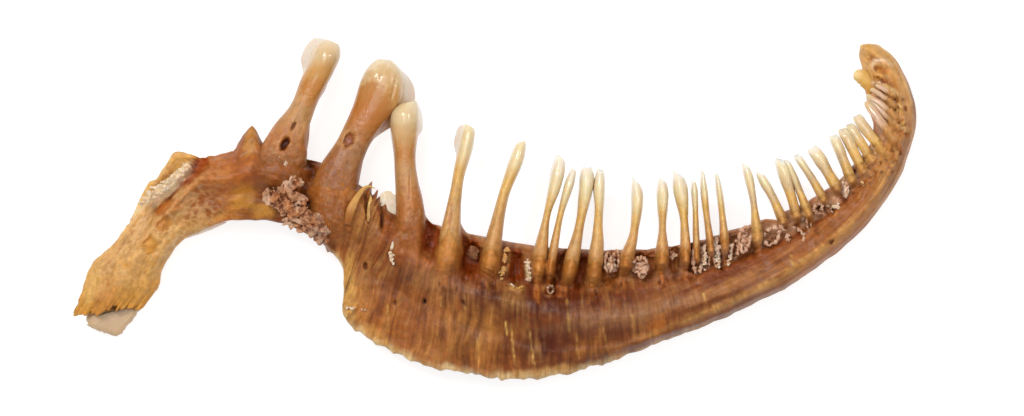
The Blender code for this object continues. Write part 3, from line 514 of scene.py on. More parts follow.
# The arch: margins and cross-sections by station, the same as those of the solids
arch = dict(
    cuts=(4, 99), nearSides=104, farSides=48, endRings=5, last=38, measured=3000, endTurn=(0.08, 0.5),
    upper={
        0: (-25.35, -6.4), 1: (-24.8, -5.2), 2: (-24.24, -3.5), 3: (-22.87, -2.1), 4: (-21.73, -0.58),
        5: (-20.88, 1.35), 6: (-19.95, 2.15), 7: (-19.15, 3.38), 8: (-18.3, 3.36), 9: (-17.5, 3.16),
        10: (-16.3, 3.25), 11: (-15.2, 3.7), 12: (-13.9, 3.85), 14: (-11.1, 3.0), 15: (-9.7, 2.6),
        16: (-8.2, 1.6), 18: (-6.3, 0.2), 20: (-3.8, -0.8), 22: (-0.2, -1.7), 24: (4.0, -2.3),
        26: (10.0, -2.3), 28: (15.1, -1.0), 30: (19.6, 0.9), 32: (22.45, 3.6), 33: (22.9, 4.9),
        34: (22.55, 6.3), 35: (22.38, 7.45), 36: (22.22, 8.5), 37: (22.06, 9.3), 38: (22.15, 9.8),
    },
    lower={
        0: (-20.9, -5.7), 1: (-20.1, -4.6), 2: (-19.85, -3.6), 4: (-18.81, -2.0), 6: (-17.57, -1.28),
        7: (-17.02, -1.04), 9: (-15.87, -0.67), 11: (-14.35, -0.64), 12: (-13.5, -0.62), 14: (-11.4, -1.35),
        16: (-9.32, -2.95), 17: (-8.95, -4.5), 18: (-9.0, -6.4), 19: (-7.62, -7.65), 20: (-5.66, -8.76),
        21: (-3.4, -9.53), 23: (1.3, -10.2), 24: (4.1, -9.9), 25: (7.51, -9.0), 26: (10.95, -7.67),
        27: (14.19, -6.35), 28: (17.14, -4.97), 29: (19.65, -3.38), 30: (21.79, -1.6), 31: (23.5, 0.42),
        32: (24.74, 2.64), 33: (25.36, 4.8), 34: (25.36, 6.35), 35: (25.04, 7.52), 36: (24.52, 8.6),
        37: (23.98, 9.35), 38: (23.4, 9.8),
    },
    # lower edge and its thickness, flange share and thickness, crest share and height, shelf share
    # and height, upper rim and its thickness, keel share and height
    sections={
        0: (1.7, 0.55, 0.20, 1.0, 0.50, 2.4, 0.75, 2.2, 1.8, 0.6, 0.50, 1.00),
        1: (1.8, 0.60, 0.20, 1.3, 0.50, 2.8, 0.75, 2.4, 1.9, 0.6, 0.50, 0.20),
        2: (1.9, 0.70, 0.20, 1.7, 0.48, 3.1, 0.75, 2.5, 2.0, 0.6, 0.50, -0.25),
        4: (2.1, 0.80, 0.20, 1.9, 0.48, 3.3, 0.75, 2.4, 2.2, 0.6, 0.50, -0.20),
        6: (2.4, 0.70, 0.26, 1.5, 0.52, 3.5, 0.77, 2.1, 2.6, 0.7, 0.50, 0.30),
        8: (2.6, 0.60, 0.32, 1.1, 0.62, 3.8, 0.83, 2.6, 2.9, 0.8, 0.58, 0.60),
        10: (2.7, 0.60, 0.36, 1.0, 0.66, 4.0, 0.88, 3.4, 3.0, 0.9, 0.60, 0.80),
        14: (2.8, 0.60, 0.30, 1.1, 0.60, 4.1, 0.84, 3.7, 3.3, 1.2, 0.55, 0.80),
        17: (3.0, 0.60, 0.42, 1.3, 0.78, 4.4, 0.90, 4.1, 3.5, 1.4, 0.68, 0.50),
        20: (2.9, 0.60, 0.40, 1.5, 0.70, 4.6, 0.86, 4.0, 3.4, 1.8, 0.62, 0.10),
        23: (2.8, 0.60, 0.26, 1.7, 0.56, 4.6, 0.80, 3.8, 3.3, 1.9, 0.56, -0.25),
        26: (2.6, 1.10, 0.08, 2.2, 0.32, 4.3, 0.74, 3.6, 3.1, 1.8, 0.50, -0.20),
        29: (2.4, 1.30, 0.08, 2.4, 0.26, 3.9, 0.76, 3.3, 2.9, 1.7, 0.48, 0.35),
        32: (2.1, 1.10, 0.10, 2.0, 0.30, 3.4, 0.78, 3.0, 2.5, 1.5, 0.48, 0.45),
        34: (1.8, 1.00, 0.10, 1.7, 0.38, 2.9, 0.80, 2.6, 2.1, 1.3, 0.50, 0.05),
        36: (1.4, 0.80, 0.12, 1.3, 0.48, 2.4, 0.80, 2.1, 1.7, 1.2, 0.50, -0.25),
        38: (1.1, 0.70, 0.15, 0.9, 0.50, 1.9, 0.80, 1.7, 1.5, 1.0, 0.50, 0.20),
    },
    spacing={0: 0.15, 14: 0.15, 16: 0.10, 26: 0.10, 28: 0.15, 38: 0.15},
    fibrous={14.5: 0, 16.5: 1, 24: 1, 27.5: 0.25, 31: 0},
    grain={0: 1, 14: 1, 16: 0, 25: 0, 28: 0.8, 38: 1},          # 1 where the streaks run lengthwise
    streaks={0: 0.9, 3: 0.35, 10: 0.35, 15: 0.8, 17: 1, 25: 1, 28: 1, 32: 0.9, 36: 0.5, 38: 0.4},
    cells={0: 0.05, 2: 0.3, 4: 0.5, 7: 0.4, 9: 0.15, 11: 0},    # how much the net shows
    cellField=((-24.5, -7), (-12, 4.2)), cellCount=1000, cellWall=0.17,
    glaze={0: 0, 6: 0.15, 12: 0.1, 16: 0, 38: 0.1},
    bead={24: 0, 27: 1, 33: 1, 35: 0}, beadAt=0.75, beadTall=0.16,      # a line near the lower margin
    dark={9: 0.55, 14: 1},                                      # how dark the strands are
    row={15: 0, 17: 1, 32: 1, 34: 0}, rowRusset={25: 0.22, 27: 0.0},    # tints of the strip of the tooth row
    # the last table on this line weights a painted highlight along the upper rim, by station
    rowRim={25: 0, 27: 0.42, 29: 0.58, 32: 0.55}, rimHighlight={17: 0, 19: 0.7, 30: 0.7, 32: 0},
    frayShare=0.16, tornReach=1.3,                              # how far in the frayed and torn edges reach
    frontKept=0.85, capReach=(-0.05, 0.22),                     # front end left wide; how far both ends bulge
    troughEdge=(-0.06, 0.07), rimEdge=(0.88, 0.965),
    troughDepth={18: 0, 20: 0.1, 22: 0.35, 26: 0.48, 30: 0.35, 33: 0.12, 35: 0},
    # spikes, webs and a dip of the upper margin: station, reach before and after it, height and power
    spurs=[(11.68, 0.95, 0.36, 1.2, 0.8), (11.9, 0.2, 0.25, 0.3, 1), (16.75, 0.35, 0.25, 0.75, 1),
           (17.2, 0.2, 0.14, 0.7, 1), (17.42, 0.12, 0.2, 0.4, 1), (17.85, 0.15, 0.25, 0.3, 1),
           (19.5, 0.8, 1.3, 0.8, 1.6), (20.9, 0.6, 0.9, 1.0, 1.8), (28.75, 0.6, 0.6, -0.3, 1.2)],
    troughLip={15: 0.72, 20: 0.60, 23: 0.62, 26: 0.66, 28: 0.62, 30: 0.64, 38: 0.66},
    ground={0: "gold", 2: "honey", 4: "honey", 6: "honeyStem", 8: "amberGlow", 12: "brown", 15: "brown",
            18: "tan", 20: "tan", 22: "brown", 24: "mud", 27: "mud", 29: "tan", 33: "tan", 35: "amber",
            38: "paleGold"},
    patches=[
        spot(-22.68, -1.71, 2.7, 0.32, 52, "paleHoney", 0.6),
        spot(-24.1, -4.5, 1.2, 0.4, 75, "paleGold", 0.7), spot(-22.2, -2.1, 2.4, 0.12, 52, "tan", 0.5),
        spot(-23.3, -6.0, 1.7, 0.7, 80, "amber", 0.7), spot(-21.9, -5.5, 1.4, 0.8, 30, "gold", 0.6),
        spot(-20.6, -3.4, 0.5, 1.8, 0, "gold", 0.4), spot(-18.9, 2.5, 1.2, 0.8, 70, "paleGold", 0.85),
        spot(-20.6, 1.0, 0.9, 0.7, 60, "paleGold", 0.8), spot(-19.9, 1.5, 1.0, 0.25, 60, "gold", 0.5),
        spot(-19.3, 1.35, 1.9, 0.36, 43, "chalk", 0.9), spot(-21.2, 0.2, 0.8, 0.35, 50, "cream", 0.8),
        spot(-18.1, 1.25, 2.3, 0.34, 46, "lightTan", 0.6), spot(-15.8, 1.9, 2.4, 1.5, 40, "burnt", 0.85),
        spot(-16.7, 1.5, 1.5, 0.3, 48, "lightTan", 0.4), spot(-17.1, 0.4, 0.7, 0.4, 80, "russet", 0.5),
        spot(-15.0, 0.7, 0.9, 0.8, 80, "ochre", 0.85), spot(-13.7, 0.0, 0.9, 0.45, 0, "gold", 0.85),
        spot(-14.9, -0.2, 0.5, 0.28, 0, "brown", 0.7), spot(-17.5, -0.7, 1.5, 0.4, 22, "gold", 0.6),
        spot(-13.4, 1.9, 1.0, 1.1, 0, "russet", 0.85), spot(-16.6, 0.3, 0.9, 0.5, 60, "umber", 0.4),
        spot(-14.5, 4.2, 0.4, 1.2, -10, "gold", 0.7), spot(-8.3, -4.9, 0.8, 3.2, 0, "amber", 0.45),
        spot(-8.6, -1.0, 0.9, 1.6, 0, "lightTan", 0.35), spot(-6.6, -2.8, 1.5, 2.1, 0, "brown", 0.7),
        spot(-7.5, -0.6, 0.8, 1.3, 10, "stem", 0.5), spot(-5.6, -4.2, 1.2, 1.0, 0, "umber", 0.35),
        # the ash spots here and at (7.5, -6.3) are a painted sheen band over the plate's grey tone
        spot(-2.2, -4.6, 3.6, 0.7, -15, "ash", 0.6), spot(-3.0, -6.6, 1.6, 2.2, 10, "lightTan", 0.3),
        spot(2.9, -8.0, 1.3, 1.0, 0, "plum", 1), spot(-1.4, -7.2, 1.7, 1.2, 0, "goldenStrand", 0.5),
        spot(1.6, -6.1, 0.9, 1.0, 0, "umber", 0.5), spot(-8.65, -4.9, 0.4, 2.6, 0, "paleGold", 0.6),
        spot(-6.9, -7.7, 1.4, 0.4, -38, "paleGold", 0.5), spot(5.2, -5.4, 2.6, 0.8, 8, "plum", 0.7),
        spot(0.4, -6.0, 2.6, 1.5, 0, "umber", 0.35), spot(-6.5, -6.8, 1.3, 1.2, 0, "orange", 0.2),
        spot(9.8, -6.4, 0.5, 0.9, -12, "orange", 0.6), spot(7.5, -6.3, 4.6, 0.4, 12, "ash", 0.55),
        spot(12.5, -3.5, 4.4, 0.6, 14, "russet", 0.55), spot(16.6, -1.9, 2.4, 0.5, 26, "russet", 0.5),
        spot(19.6, -0.3, 2.4, 0.4, 38, "russet", 0.5), spot(23.9, 3.0, 0.7, 2.2, -20, "stem", 0.35),
        spot(25.0, 4.0, 0.4, 2.6, -6, "honeyStem", 0.6), spot(23.9, 1.2, 0.4, 1.9, -34, "honeyStem", 0.45),
        spot(13.5, -4.8, 5.0, 0.35, 20, "lightTan", 0.4), spot(23.8, 5.0, 0.5, 2.0, 0, "amber", 0.5),
        spot(22.9, 8.9, 1.5, 1.3, 0, "paleHoney", 0.8), spot(24.75, 6.9, 0.35, 1.7, 12, "netting", 0.5),
        spot(24.0, 6.3, 0.45, 1.2, -8, "amber", 0.6), spot(24.6, 4.9, 0.35, 1.6, -6, "bulb", 0.5),
        spot(23.0, 6.2, 0.5, 0.9, 0, "plug", 0.35), spot(23.0, 3.2, 0.8, 1.2, -20, "honey", 0.4),
        # the umber spot at (-9.0, 0.2) is a painted shadow beside the hooked splinter, at the foot of the
        # second tooth
        spot(1.3, -5.3, 2.0, 1.2, 0, "plum", 0.9), spot(-9.0, 0.2, 0.8, 1.1, 0, "umber", 0.6),
        spot(6.4, -4.15, 2.1, 0.6, 0, "honeyStem", 0.6), spot(-17.3, 0.3, 1.5, 0.9, 45, "russet", 0.5),
        spot(-12.9, 1.9, 1.2, 1.2, 0, "umber", 0.7), spot(-15.9, 1.8, 1.1, 0.9, 40, "burnt", 0.4),
        spot(-20.4, -1.1, 1.2, 0.8, 50, "amberGlow", 0.35), spot(3.2, -9.75, 2.8, 0.35, 6, "paleHoney", 0.6),
        spot(-0.8, -7.7, 2.3, 1.7, 0, "amber", 0.38), spot(5.9, -8.3, 1.3, 0.6, 18, "amber", 0.35),
        spot(-4.6, -6.9, 2.6, 1.1, -12, "brown", 0.35), spot(-6.6, -3.9, 1.5, 1.3, 0, "umber", 0.3),
        spot(10.0, -5.4, 1.1, 1.0, 0, "brown", 0.35),
    ],
    # pits: empty sockets, pores and hollows, with the depth of each; their darker colours are partly painted
    # shade in the hollows
    pits=[
        pitAt(-19.75, 0.15, 0.75, 0.3, 42, "ember", 0.95, 0.45),
        pitAt(-17.85, 2.4, 1.15, 0.42, 43, "groove", 0.85, 0.6),
        pitAt(-18.9, 1.2, 0.9, 0.1, 44, "groove", 0.7, 0.25),
        pitAt(-19.8, -0.88, 0.48, 0.4, 20, "amber", 0.75, 0.36),
        pitAt(-18.9, 0.3, 0.3, 0.22, 40, "ember", 0.35, 0.15),
        pitAt(-20.57, -2.1, 0.4, 0.46, 0, "gold", 0.8, 0.36),
        pitAt(-22.1, -3.3, 0.2, 0.3, 0, "gold", 0.5, 0.1),
        pitAt(-11.0, 1.6, 0.5, 1.7, 0, "darkStrand", 0.9, 0.5),
        pitAt(-11.4, 2.7, 0.9, 0.3, 10, "darkStrand", 0.8, 0.3),
        pitAt(-7.55, 0.1, 0.14, 0.8, 8, "darkStrand", 0.8, 0.4),
        pitAt(-6.65, -0.6, 0.12, 0.7, 0, "darkStrand", 0.8, 0.4),
        pitAt(-3.75, -1.75, 0.62, 1.0, 0, "socketRed", 1, 0.7),
        pitAt(-1.3, -2.95, 0.6, 1.2, 0, "socketRed", 1, 0.8),
        pitAt(1.4, -3.55, 0.46, 0.9, 4, "socketRed", 1, 0.7),
        pitAt(4.35, -3.2, 0.3, 0.9, -16, "socketRed", 1, 1.0),
        pitAt(3.6, -4.6, 0.2, 0.5, 0, "socketRed", 0.9, 0.6),
        pitAt(5.25, -3.9, 0.3, 1.0, -14, "socketRed", 0.8, 0.6),
        pitAt(7.0, -3.6, 0.5, 1.0, 0, "burnt", 0.6, 0.7), pitAt(9.2, -3.4, 0.6, 0.8, 0, "burnt", 0.6, 0.7),
        pitAt(10.9, -3.1, 0.3, 0.9, 0, "burnt", 0.7, 0.7), pitAt(12.0, -3.0, 0.35, 0.9, 0, "burnt", 0.6, 0.7),
        pitAt(15.0, -2.3, 0.8, 0.7, 20, "burnt", 0.5, 0.6),
        pitAt(16.9, -1.6, 0.6, 0.6, 20, "burnt", 0.4, 0.3),
        pitAt(-9.96, 1.35, 0.26, 0.15, 90, "russet", 0.8, 0.25),
        pitAt(-5.85, -5.6, 0.1, 0.15, 0, "umber", 0.9, 0.2),
        pitAt(-4.1, -5.5, 0.1, 0.14, 0, "pitch", 1, 0.25),
        pitAt(-1.75, -5.6, 0.09, 0.22, 20, "umber", 0.9, 0.25),
        pitAt(-7.65, -3.4, 0.13, 0.22, 0, "umber", 0.9, 0.25),
        pitAt(20.25, -1.95, 0.18, 0.15, 0, "umber", 1, 0.2), pitAt(19.55, 0.1, 0.2, 0.2, 0, "umber", 1, 0.25),
        pitAt(21.7, 2.3, 0.12, 0.12, 0, "umber", 1, 0.15),
        pitAt(22.9, 9.05, 0.42, 0.2, -20, "tan", 0.8, 0.25),
        pitAt(23.25, 7.8, 0.48, 0.11, -28, "russet", 0.9, 0.4),
        pitAt(23.3, 8.4, 0.5, 0.16, -20, "ember", 0.6, 0.35),
        pitAt(23.5, 7.1, 0.16, 0.1, -20, "russet", 0.9, 0.2),
    ],
)
# relief and mottle: crest to crest one way and the other, height or weight, seed
boneLayers = dict(
    frayFibres=[(0.24, 1, 0.11, 5)], fray=[(0.7, 1, 1, 6)],
    margin=[(0.45, 1, 1, 8)], marginSplinters=[(0.16, 1, 0.06, 9)],
    tear=[(0.14, 1, 0.3, 12), (0.7, 1, 0.4, 13)],
    lip=[(0.8, 1, 0.035, 14)],
    bent=[(1.3, 1.7, 0.16, 49), (0.4, 0.9, 0.05, 50)],
    pitEdge=[(0.35, 0.35, 0.22, 21), (0.15, 0.15, 0.12, 22)],
    ribs=[(0.17, 2.2, 0.07, 31), (0.45, 3.5, 0.07, 32)],
    lengthwise=[(0.25, 1.6, 0.018, 33), (0.8, 3.0, 0.03, 34)],
    lumps=[(0.9, 0.9, 0.07, 35), (0.3, 0.3, 0.045, 36)], grit=[(0.13, 0.13, 0.03, 37)],
    rootGrit=[(0.16, 0.16, 0.035, 38), (0.4, 0.5, 0.05, 39)],
    warpX=[(0.3, 0.3, 1, 18)], warpY=[(0.3, 0.3, 1, 19)],
    patchEdge=[(0.5, 0.5, 0.3, 41), (0.2, 0.2, 0.2, 42)], patchFibres=[(0.3, 2.5, 0.35, 43)],
    strand=[(0.14, 1.1, 1, 44), (0.35, 1.6, 0.8, 45), (0.9, 1.8, 1.1, 46)],
    mottle=[(0.45, 0.45, 1, 47), (1.1, 1.1, 0.8, 48)],
    layered=[(0.13, 2.6, 1, 51), (0.4, 4, 0.9, 52)],
    rootGrains=[(0.17, 0.17, 1, 53)],
)

# raised seams, rims and bridges of bone on the near face: a line, half width, height and colour
arch["seams"] = [
    seamAlong([(22.75, 8.1), (22.9, 8.8), (23.35, 8.95), (23.8, 8.7), (24.1, 8.35)], 0.15, 0.5, "plug"),
    seamAlong([(22.6, 7.5), (23.1, 7.65), (23.7, 7.3)], 0.1, 0.2, "plug"),
    seamAlong([(1.0, -2.3), (0.95, -3.2), (0.75, -4.1)], 0.16, 0.35, "stem"),
    seamAlong([(2.15, -3.0), (2.1, -3.6), (2.2, -4.2)], 0.15, 0.3, "cream"),
    seamAlong([(0.9, -4.5), (1.2, -4.75), (1.6, -4.8), (1.95, -4.5)], 0.12, 0.2, "stem"),
    seamAlong([(3.1, -4.3), (3.05, -4.9), (3.35, -5.15), (3.7, -4.9), (3.65, -4.3)], 0.1, 0.2, "stem"),
    seamAlong([(10.8, -2.6), (11.0, -3.1), (10.95, -3.7)], 0.09, 0.25, "stem"),
    seamAlong([(9.45, -2.9), (9.75, -3.3), (9.7, -3.9)], 0.09, 0.2, "tan"),
    seamAlong([(18.6, -0.3), (19.0, -0.7), (18.9, -1.5)], 0.12, 0.2, "lightTan"),
    seamAlong([(20.3, 0.6), (20.6, 0.0), (20.4, -0.6)], 0.1, 0.2, "lightTan"),
    seamAlong([(21.7, 1.6), (22.0, 1.0), (21.8, 0.5)], 0.1, 0.2, "lightTan"),
    seamAlong([(22.9, 2.7), (23.1, 2.2), (23.0, 1.7)], 0.1, 0.2, "lightTan"),
    seamAlong([(-16.6, 2.65), (-17.9, 1.4), (-19.3, 0.1), (-19.9, -0.4)], 0.22, 0.25, "lightTan"),
    seamAlong([(-17.9, 3.1), (-18.6, 2.0), (-19.9, 1.0), (-20.9, 0.3)], 0.25, 0.3, "chalk"),
    seamAlong([(-22.9, -2.4), (-21.9, -1.2), (-20.9, 0.2)], 0.12, 0.15, "paleHoney"),
    # the wide ash seam is a raised grey seam that also carries a painted sheen band
    seamAlong([(4.0, -6.5), (6.5, -6.55), (9.0, -6.2), (12.0, -5.2)], 0.5, 0.14, "ash"),
    seamAlong([(11.0, -6.9), (14.0, -5.6), (17.0, -4.0), (20.0, -1.9), (22.4, 0.4)], 0.14, 0.12, "stem"),
]


def rootDrips():
    # thin ridges run down from the roots of the row, with small dark pores beside them
    rng = np.random.default_rng(23)
    for given in teeth:
        foot, up = np.array(given["line"][0]), np.array(given["line"][1])
        down = (foot - up) / np.linalg.norm(foot - up)
        aside = np.array([down[1], -down[0]]) * given["wide"][0]
        turn = math.degrees(math.atan2(down[1], down[0]))
        for _ in range(0 if given["family"] == "major" else 4):
            start = foot + aside * rng.uniform(-0.7, 0.7) - down * rng.uniform(0.2, 0.8)
            end = start + down * rng.uniform(0.5, 1.1)
            middle = (start + end) / 2 + aside * rng.uniform(-0.15, 0.15)
            wide, tall = rng.uniform(0.07, 0.12), rng.uniform(0.05, 0.12)
            colour = str(rng.choice(["toothBrown", "bulb", "tan"]))
            arch["seams"].append(seamAlong([start, middle, end], wide, tall, colour))
            x, y = foot + aside * rng.uniform(-0.9, 0.9) + down * rng.uniform(-0.3, 0.5)
            long, wide = rng.uniform(0.1, 0.25), rng.uniform(0.05, 0.1)
            arch["pits"].append(pitAt(x, y, long, wide, turn, "umber", 0.7, 0.12))


def tipRibs():
    # a stack of slanting ribs inside the rear tip
    for step in range(7):
        x, y = 23.4 + 0.07 * step, 7.45 - 0.36 * step
        arch["seams"].append(seamAlong([(x, y), (x + 0.5, y - 0.22), (x + 1.1, y - 0.68)], 0.12, 0.34,
                                       ("netting", "paleGold")[step % 2]))
        arch["pits"].append(pitAt(x + 0.6, y - 0.5, 0.45, 0.08, -38, "ember", 0.8, 0.26))


def goldThreads():
    # single bright threads across the plate: place, end and lean
    for x, high, low, lean in [(-6.3, -5.6, -7.5, 0.0), (-3.1, -5.1, -5.9, 0.0), (-1.7, -4.9, -6.2, 0.1),
                               (-0.95, -7.3, -9.5, 0.1), (0.75, -6.6, -7.6, 0.1), (1.05, -6.7, -9.6, 0.3),
                               (2.15, -7.0, -9.6, 0.35), (4.45, -5.2, -7.6, 0.1), (4.95, -7.3, -9.1, 0.2),
                               (6.5, -6.7, -8.5, 0.4), (8.3, -6.0, -7.2, 0.2), (10.2, -6.5, -7.1, 0.1),
                               (12.6, -4.9, -5.7, 0.15), (13.1, -5.6, -6.3, 0.2), (17.8, -2.6, -3.5, 0.2)]:
        line = [(x, high), (x + lean / 2, (high + low) / 2), (x + lean, low)]
        arch["seams"].append(seamAlong(line, 0.055, 0.03, "paleGold"))


rootDrips()
tipRibs()
goldThreads()


def archRings():
    # station of every ring, evenly spaced along the bone, with the closing rings at both ends
    rings = math.prod(c + 1 for c in arch["cuts"]) + 1
    fine = np.linspace(0, arch["last"], arch["measured"])
    middle = (curved(arch["upper"], fine) + curved(arch["lower"], fine)) / 2
    gaps = np.linalg.norm(np.diff(middle, axis=0), axis=1)
    spacing = eased(arch["spacing"], (fine[1:] + fine[:-1]) / 2)
    count = np.concatenate([[0], np.cumsum(gaps / spacing)])
    run = np.concatenate([[0], np.cumsum(gaps)])
    ends = arch["endRings"]
    evenly = np.linspace(0, count[-1], rings - 2 * ends)
    station = np.interp(evenly, count, fine)
    length = np.interp(evenly, count, run)
    closing = np.sin(np.linspace(*arch["endTurn"], ends, endpoint=False) * np.pi)
    return (
        np.concatenate([np.zeros(ends), station, np.full(ends, float(arch["last"]))]),
        np.concatenate([np.zeros(ends), length, np.full(ends, length[-1])]),
        np.concatenate([closing, np.ones(len(station)), closing[::-1]]),
    )


def rounded(t):
    # a quarter circle from 0 to 1
    return np.sqrt(1 - (1 - np.clip(t, 0, 1)) ** 2)


def archSurface():
    # places, and the numbers that the finish reads, for every ring and side
    station, length, closing = archRings()
    upper, lower = curved(arch["upper"], station), curved(arch["lower"], station)
    section = curved(arch["sections"], station)
    width = np.linalg.norm(upper - lower, axis=1)
    across = (upper - lower) / width[:, None]
    middle = (upper + lower) / 2
    forward = np.gradient(middle, axis=0)
    forward[: arch["endRings"]] = forward[arch["endRings"] + 1]
    forward[-arch["endRings"]:] = forward[-arch["endRings"] - 2]
    forward /= np.linalg.norm(forward, axis=1)[:, None]

    isNear = np.arange(arch["nearSides"] + arch["farSides"]) <= arch["nearSides"]
    backwards = np.linspace(1, 0, arch["farSides"] + 1)[1:-1]
    even = np.concatenate([np.linspace(0, 1, arch["nearSides"] + 1), backwards])
    share = 0.8 * even + 0.2 * (1 - np.cos(np.pi * even)) / 2    # closer together at both margins

    height = np.zeros((len(station), len(share)))
    for r, (edge, edgeT, flangeAt, flangeT, crestAt, crest, shelfAt, shelf, rim, rimT, keelAt, keel) \
            in enumerate(section):
        near = eased({0: edge + edgeT / 2, flangeAt: edge + flangeT / 2, crestAt: crest, shelfAt: shelf,
                      1: rim}, share)
        far = eased({0: edge - edgeT / 2, flangeAt: edge - flangeT / 2, keelAt: keel, 1: rim - rimT}, share)
        # both margins are rounded by half their thickness
        body = edge + (np.where(isNear, near, far) - edge) * rounded(share / (edgeT / 2 / width[r]))
        brow = rim - rimT / 2
        height[r] = brow + (body - brow) * rounded((1 - share) / (rimT / 2 / width[r]))

    grid = np.ones_like(height)
    at = dict(station=station[:, None] * grid, share=share[None] * grid, near=isNear[None] * grid,
              along=length[:, None] * grid, across=share[None] * width[:, None])
    flat = lower[:, None] + (upper - lower)[:, None] * share[None, :, None]

    # frayed lower margin and torn front end
    fibrous = eased(arch["fibrous"], at["station"])
    fray = relief(at["along"], 0.5, boneLayers["frayFibres"]) * fibrous
    fray += relief(at["along"], 0.5, boneLayers["fray"]) * (0.05 + 0.10 * fibrous)
    flat -= across[:, None] * (fray * (1 - smooth(0, arch["frayShare"], at["share"])))[..., None]
    front = 1 - smooth(12, 14, at["station"])
    rough = relief(at["along"], 0.5, boneLayers["margin"]) * (0.07 + 0.06 * front)
    rough += relief(at["along"], 0.5, boneLayers["marginSplinters"]) * front
    flat += across[:, None] * (rough * smooth(0.86, 1, at["share"]))[..., None]
    for where, before, after, tall, power in arch["spurs"]:
        past = at["along"] - np.interp(where, station, length)
        slope = 1 - np.where(past < 0, -past / before, past / after)
        lift = tall * np.clip(slope, 0, 1) ** power * smooth(0.6, 1, at["share"])
        flat += across[:, None] * lift[..., None]
    torn = 1 - smooth(0.0, arch["tornReach"], at["along"])
    tear = relief(at["across"], 0.3, boneLayers["tear"])
    flat -= forward[:, None] * (torn * tear)[..., None]

    # closing rings shrink to the middle of the section
    core = flat.mean(1, keepdims=True)
    midHeight = height.mean(1, keepdims=True)
    isFront = np.arange(len(station)) < len(station) / 2
    kept = np.where(isFront, arch["frontKept"], 0.0)
    flat = core + (flat - core) * (kept + (1 - kept) * closing)[:, None, None]
    height = midHeight + (height - midHeight) * closing[:, None]
    reach = np.sqrt(1 - closing**2) * np.where(isFront, *arch["capReach"])
    flat += forward[:, None] * reach[:, None, None]

    # the tooth row stands in a trough, with the thin rim behind it
    depth = eased(arch["troughDepth"], station)[:, None]
    lip = eased(arch["troughLip"], station)[:, None]
    lip = relief(at["along"], 0.5, boneLayers["lip"], start=lip)
    trough = smooth(*arch["troughEdge"], at["share"] - lip) * (1 - smooth(*arch["rimEdge"], at["share"]))
    height -= depth * trough * at["near"]

    flat, height = flat.reshape(-1, 2), height.ravel()
    at = {name: value.ravel() for name, value in at.items()}
    at["bent"] = relief(at["along"], at["across"], boneLayers["bent"], start=at["along"])
    return flat, height, at


def beadLine(at, half):
    return np.exp(-((at["across"] - arch["beadAt"]) / half) ** 2) * eased(arch["bead"], at["station"])


def archRelief(flat, height, at):
    # pits, fibres and grain on the near face, and a plainer far face
    onNear = at["near"] * smooth(0.0, 0.03, at["share"]) * (1 - smooth(0.985, 1.0, at["share"]))
    ragged = relief(*flat.T, boneLayers["pitEdge"])
    for pit in arch["pits"]:
        height = height - inside(flat, pit, 0.3, ragged * 1.3) * onNear * pit["deep"]
    height = rootRidges(flat, height, onNear)
    for seam in arch["seams"]:
        close, away, ends = nearLine(flat, seam["line"])
        broken = 0.75 + 1.2 * ragged[close]
        height[close] += seam["tall"] * np.exp(-(away / seam["wide"]) ** 2) * ends * broken * onNear[close]
    fibrous = eased(arch["fibrous"], at["station"])
    ribs = relief(at["along"], at["across"], boneLayers["ribs"])
    plate = fibrous * (1 - 0.6 * smooth(0.6, 0.8, at["share"]))
    lengthwise = relief(at["across"], at["along"], boneLayers["lengthwise"])
    height += onNear * (ribs * plate + lengthwise * (1 - plate))
    height += (1 - at["near"]) * (lengthwise + ribs * fibrous) * 0.7 * smooth(0.05, 0.2, at["share"])
    lumpy = relief(*flat.T, boneLayers["lumps"])
    lumpy += relief(*flat.T, boneLayers["grit"]) * (0.4 + smooth(0.55, 0.7, at["share"]))
    height += lumpy * onNear * (1 - 0.4 * fibrous)
    height += beadLine(at, 0.28) * arch["beadTall"] * onNear
    return np.maximum(height, 0.0)


# how far up a tooth its root reaches, places looked at along it, how far round it, and how near the bone
# is its own; swelling at the foot and at the margin, in half widths; how soon the ridge rises, how much it
# stands out above the tooth's face and drops below it at the margin; and how far the tooth's foot sinks in
roots = dict(reach=0.6, count=48, around=2.2, touch=0.16, flare=1.3, outFlare=0.93, fade=0.15, proud=0.08,
             drop=2.2, sink=1.3)


def rootOf(flat, given):
    # how near each point is to a tooth's root, in half widths, how far up the tooth and its top there
    family = families[given["family"]]
    keyAt, _ = keyPlaces(given["line"])
    run = np.linspace(0, roots["reach"], roots["count"])
    close, away = awayFrom(flat, through(keyAt, given["line"], run), roots["around"])
    margin = run[away.min(0) < roots["touch"]].max()
    given["margin"] = margin
    best = away.argmin(1)
    out = smooth(margin * 0.45, margin, run)[best]
    half = through(keyAt, given["wide"], run)[best, 0] / 2
    top = through(keyAt, family["high"], run) + through(keyAt, family["deep"], run)
    reach = half * (roots["flare"] + (roots["outFlare"] - roots["flare"]) * out)
    return close, away.min(1) / reach, run[best], top[best, 0] + roots["proud"] * (1 - roots["drop"] * out)


def rootRidges(flat, height, onNear):
    # the bone swells round each root and runs out below it
    for given in teeth:
        close, away, run, top = rootOf(flat, given)
        rise = np.maximum(top - height[close], 0)
        ridge = np.clip(1 - away**2.4, 0, 1) * smooth(0.0, roots["fade"], run)
        rough = relief(*flat[close].T, boneLayers["rootGrit"])
        height[close] += (rise + rough) * ridge * onNear[close]
    return height


def rootCover(flat):
    # 1 on the roots of the teeth
    cover = np.zeros(len(flat))
    for given in teeth:
        close, away, run, _ = rootOf(flat, given)
        cover[close] = np.maximum(cover[close], (1 - smooth(0.6, 1.1, away)) * smooth(0.0, 0.15, run))
    return cover


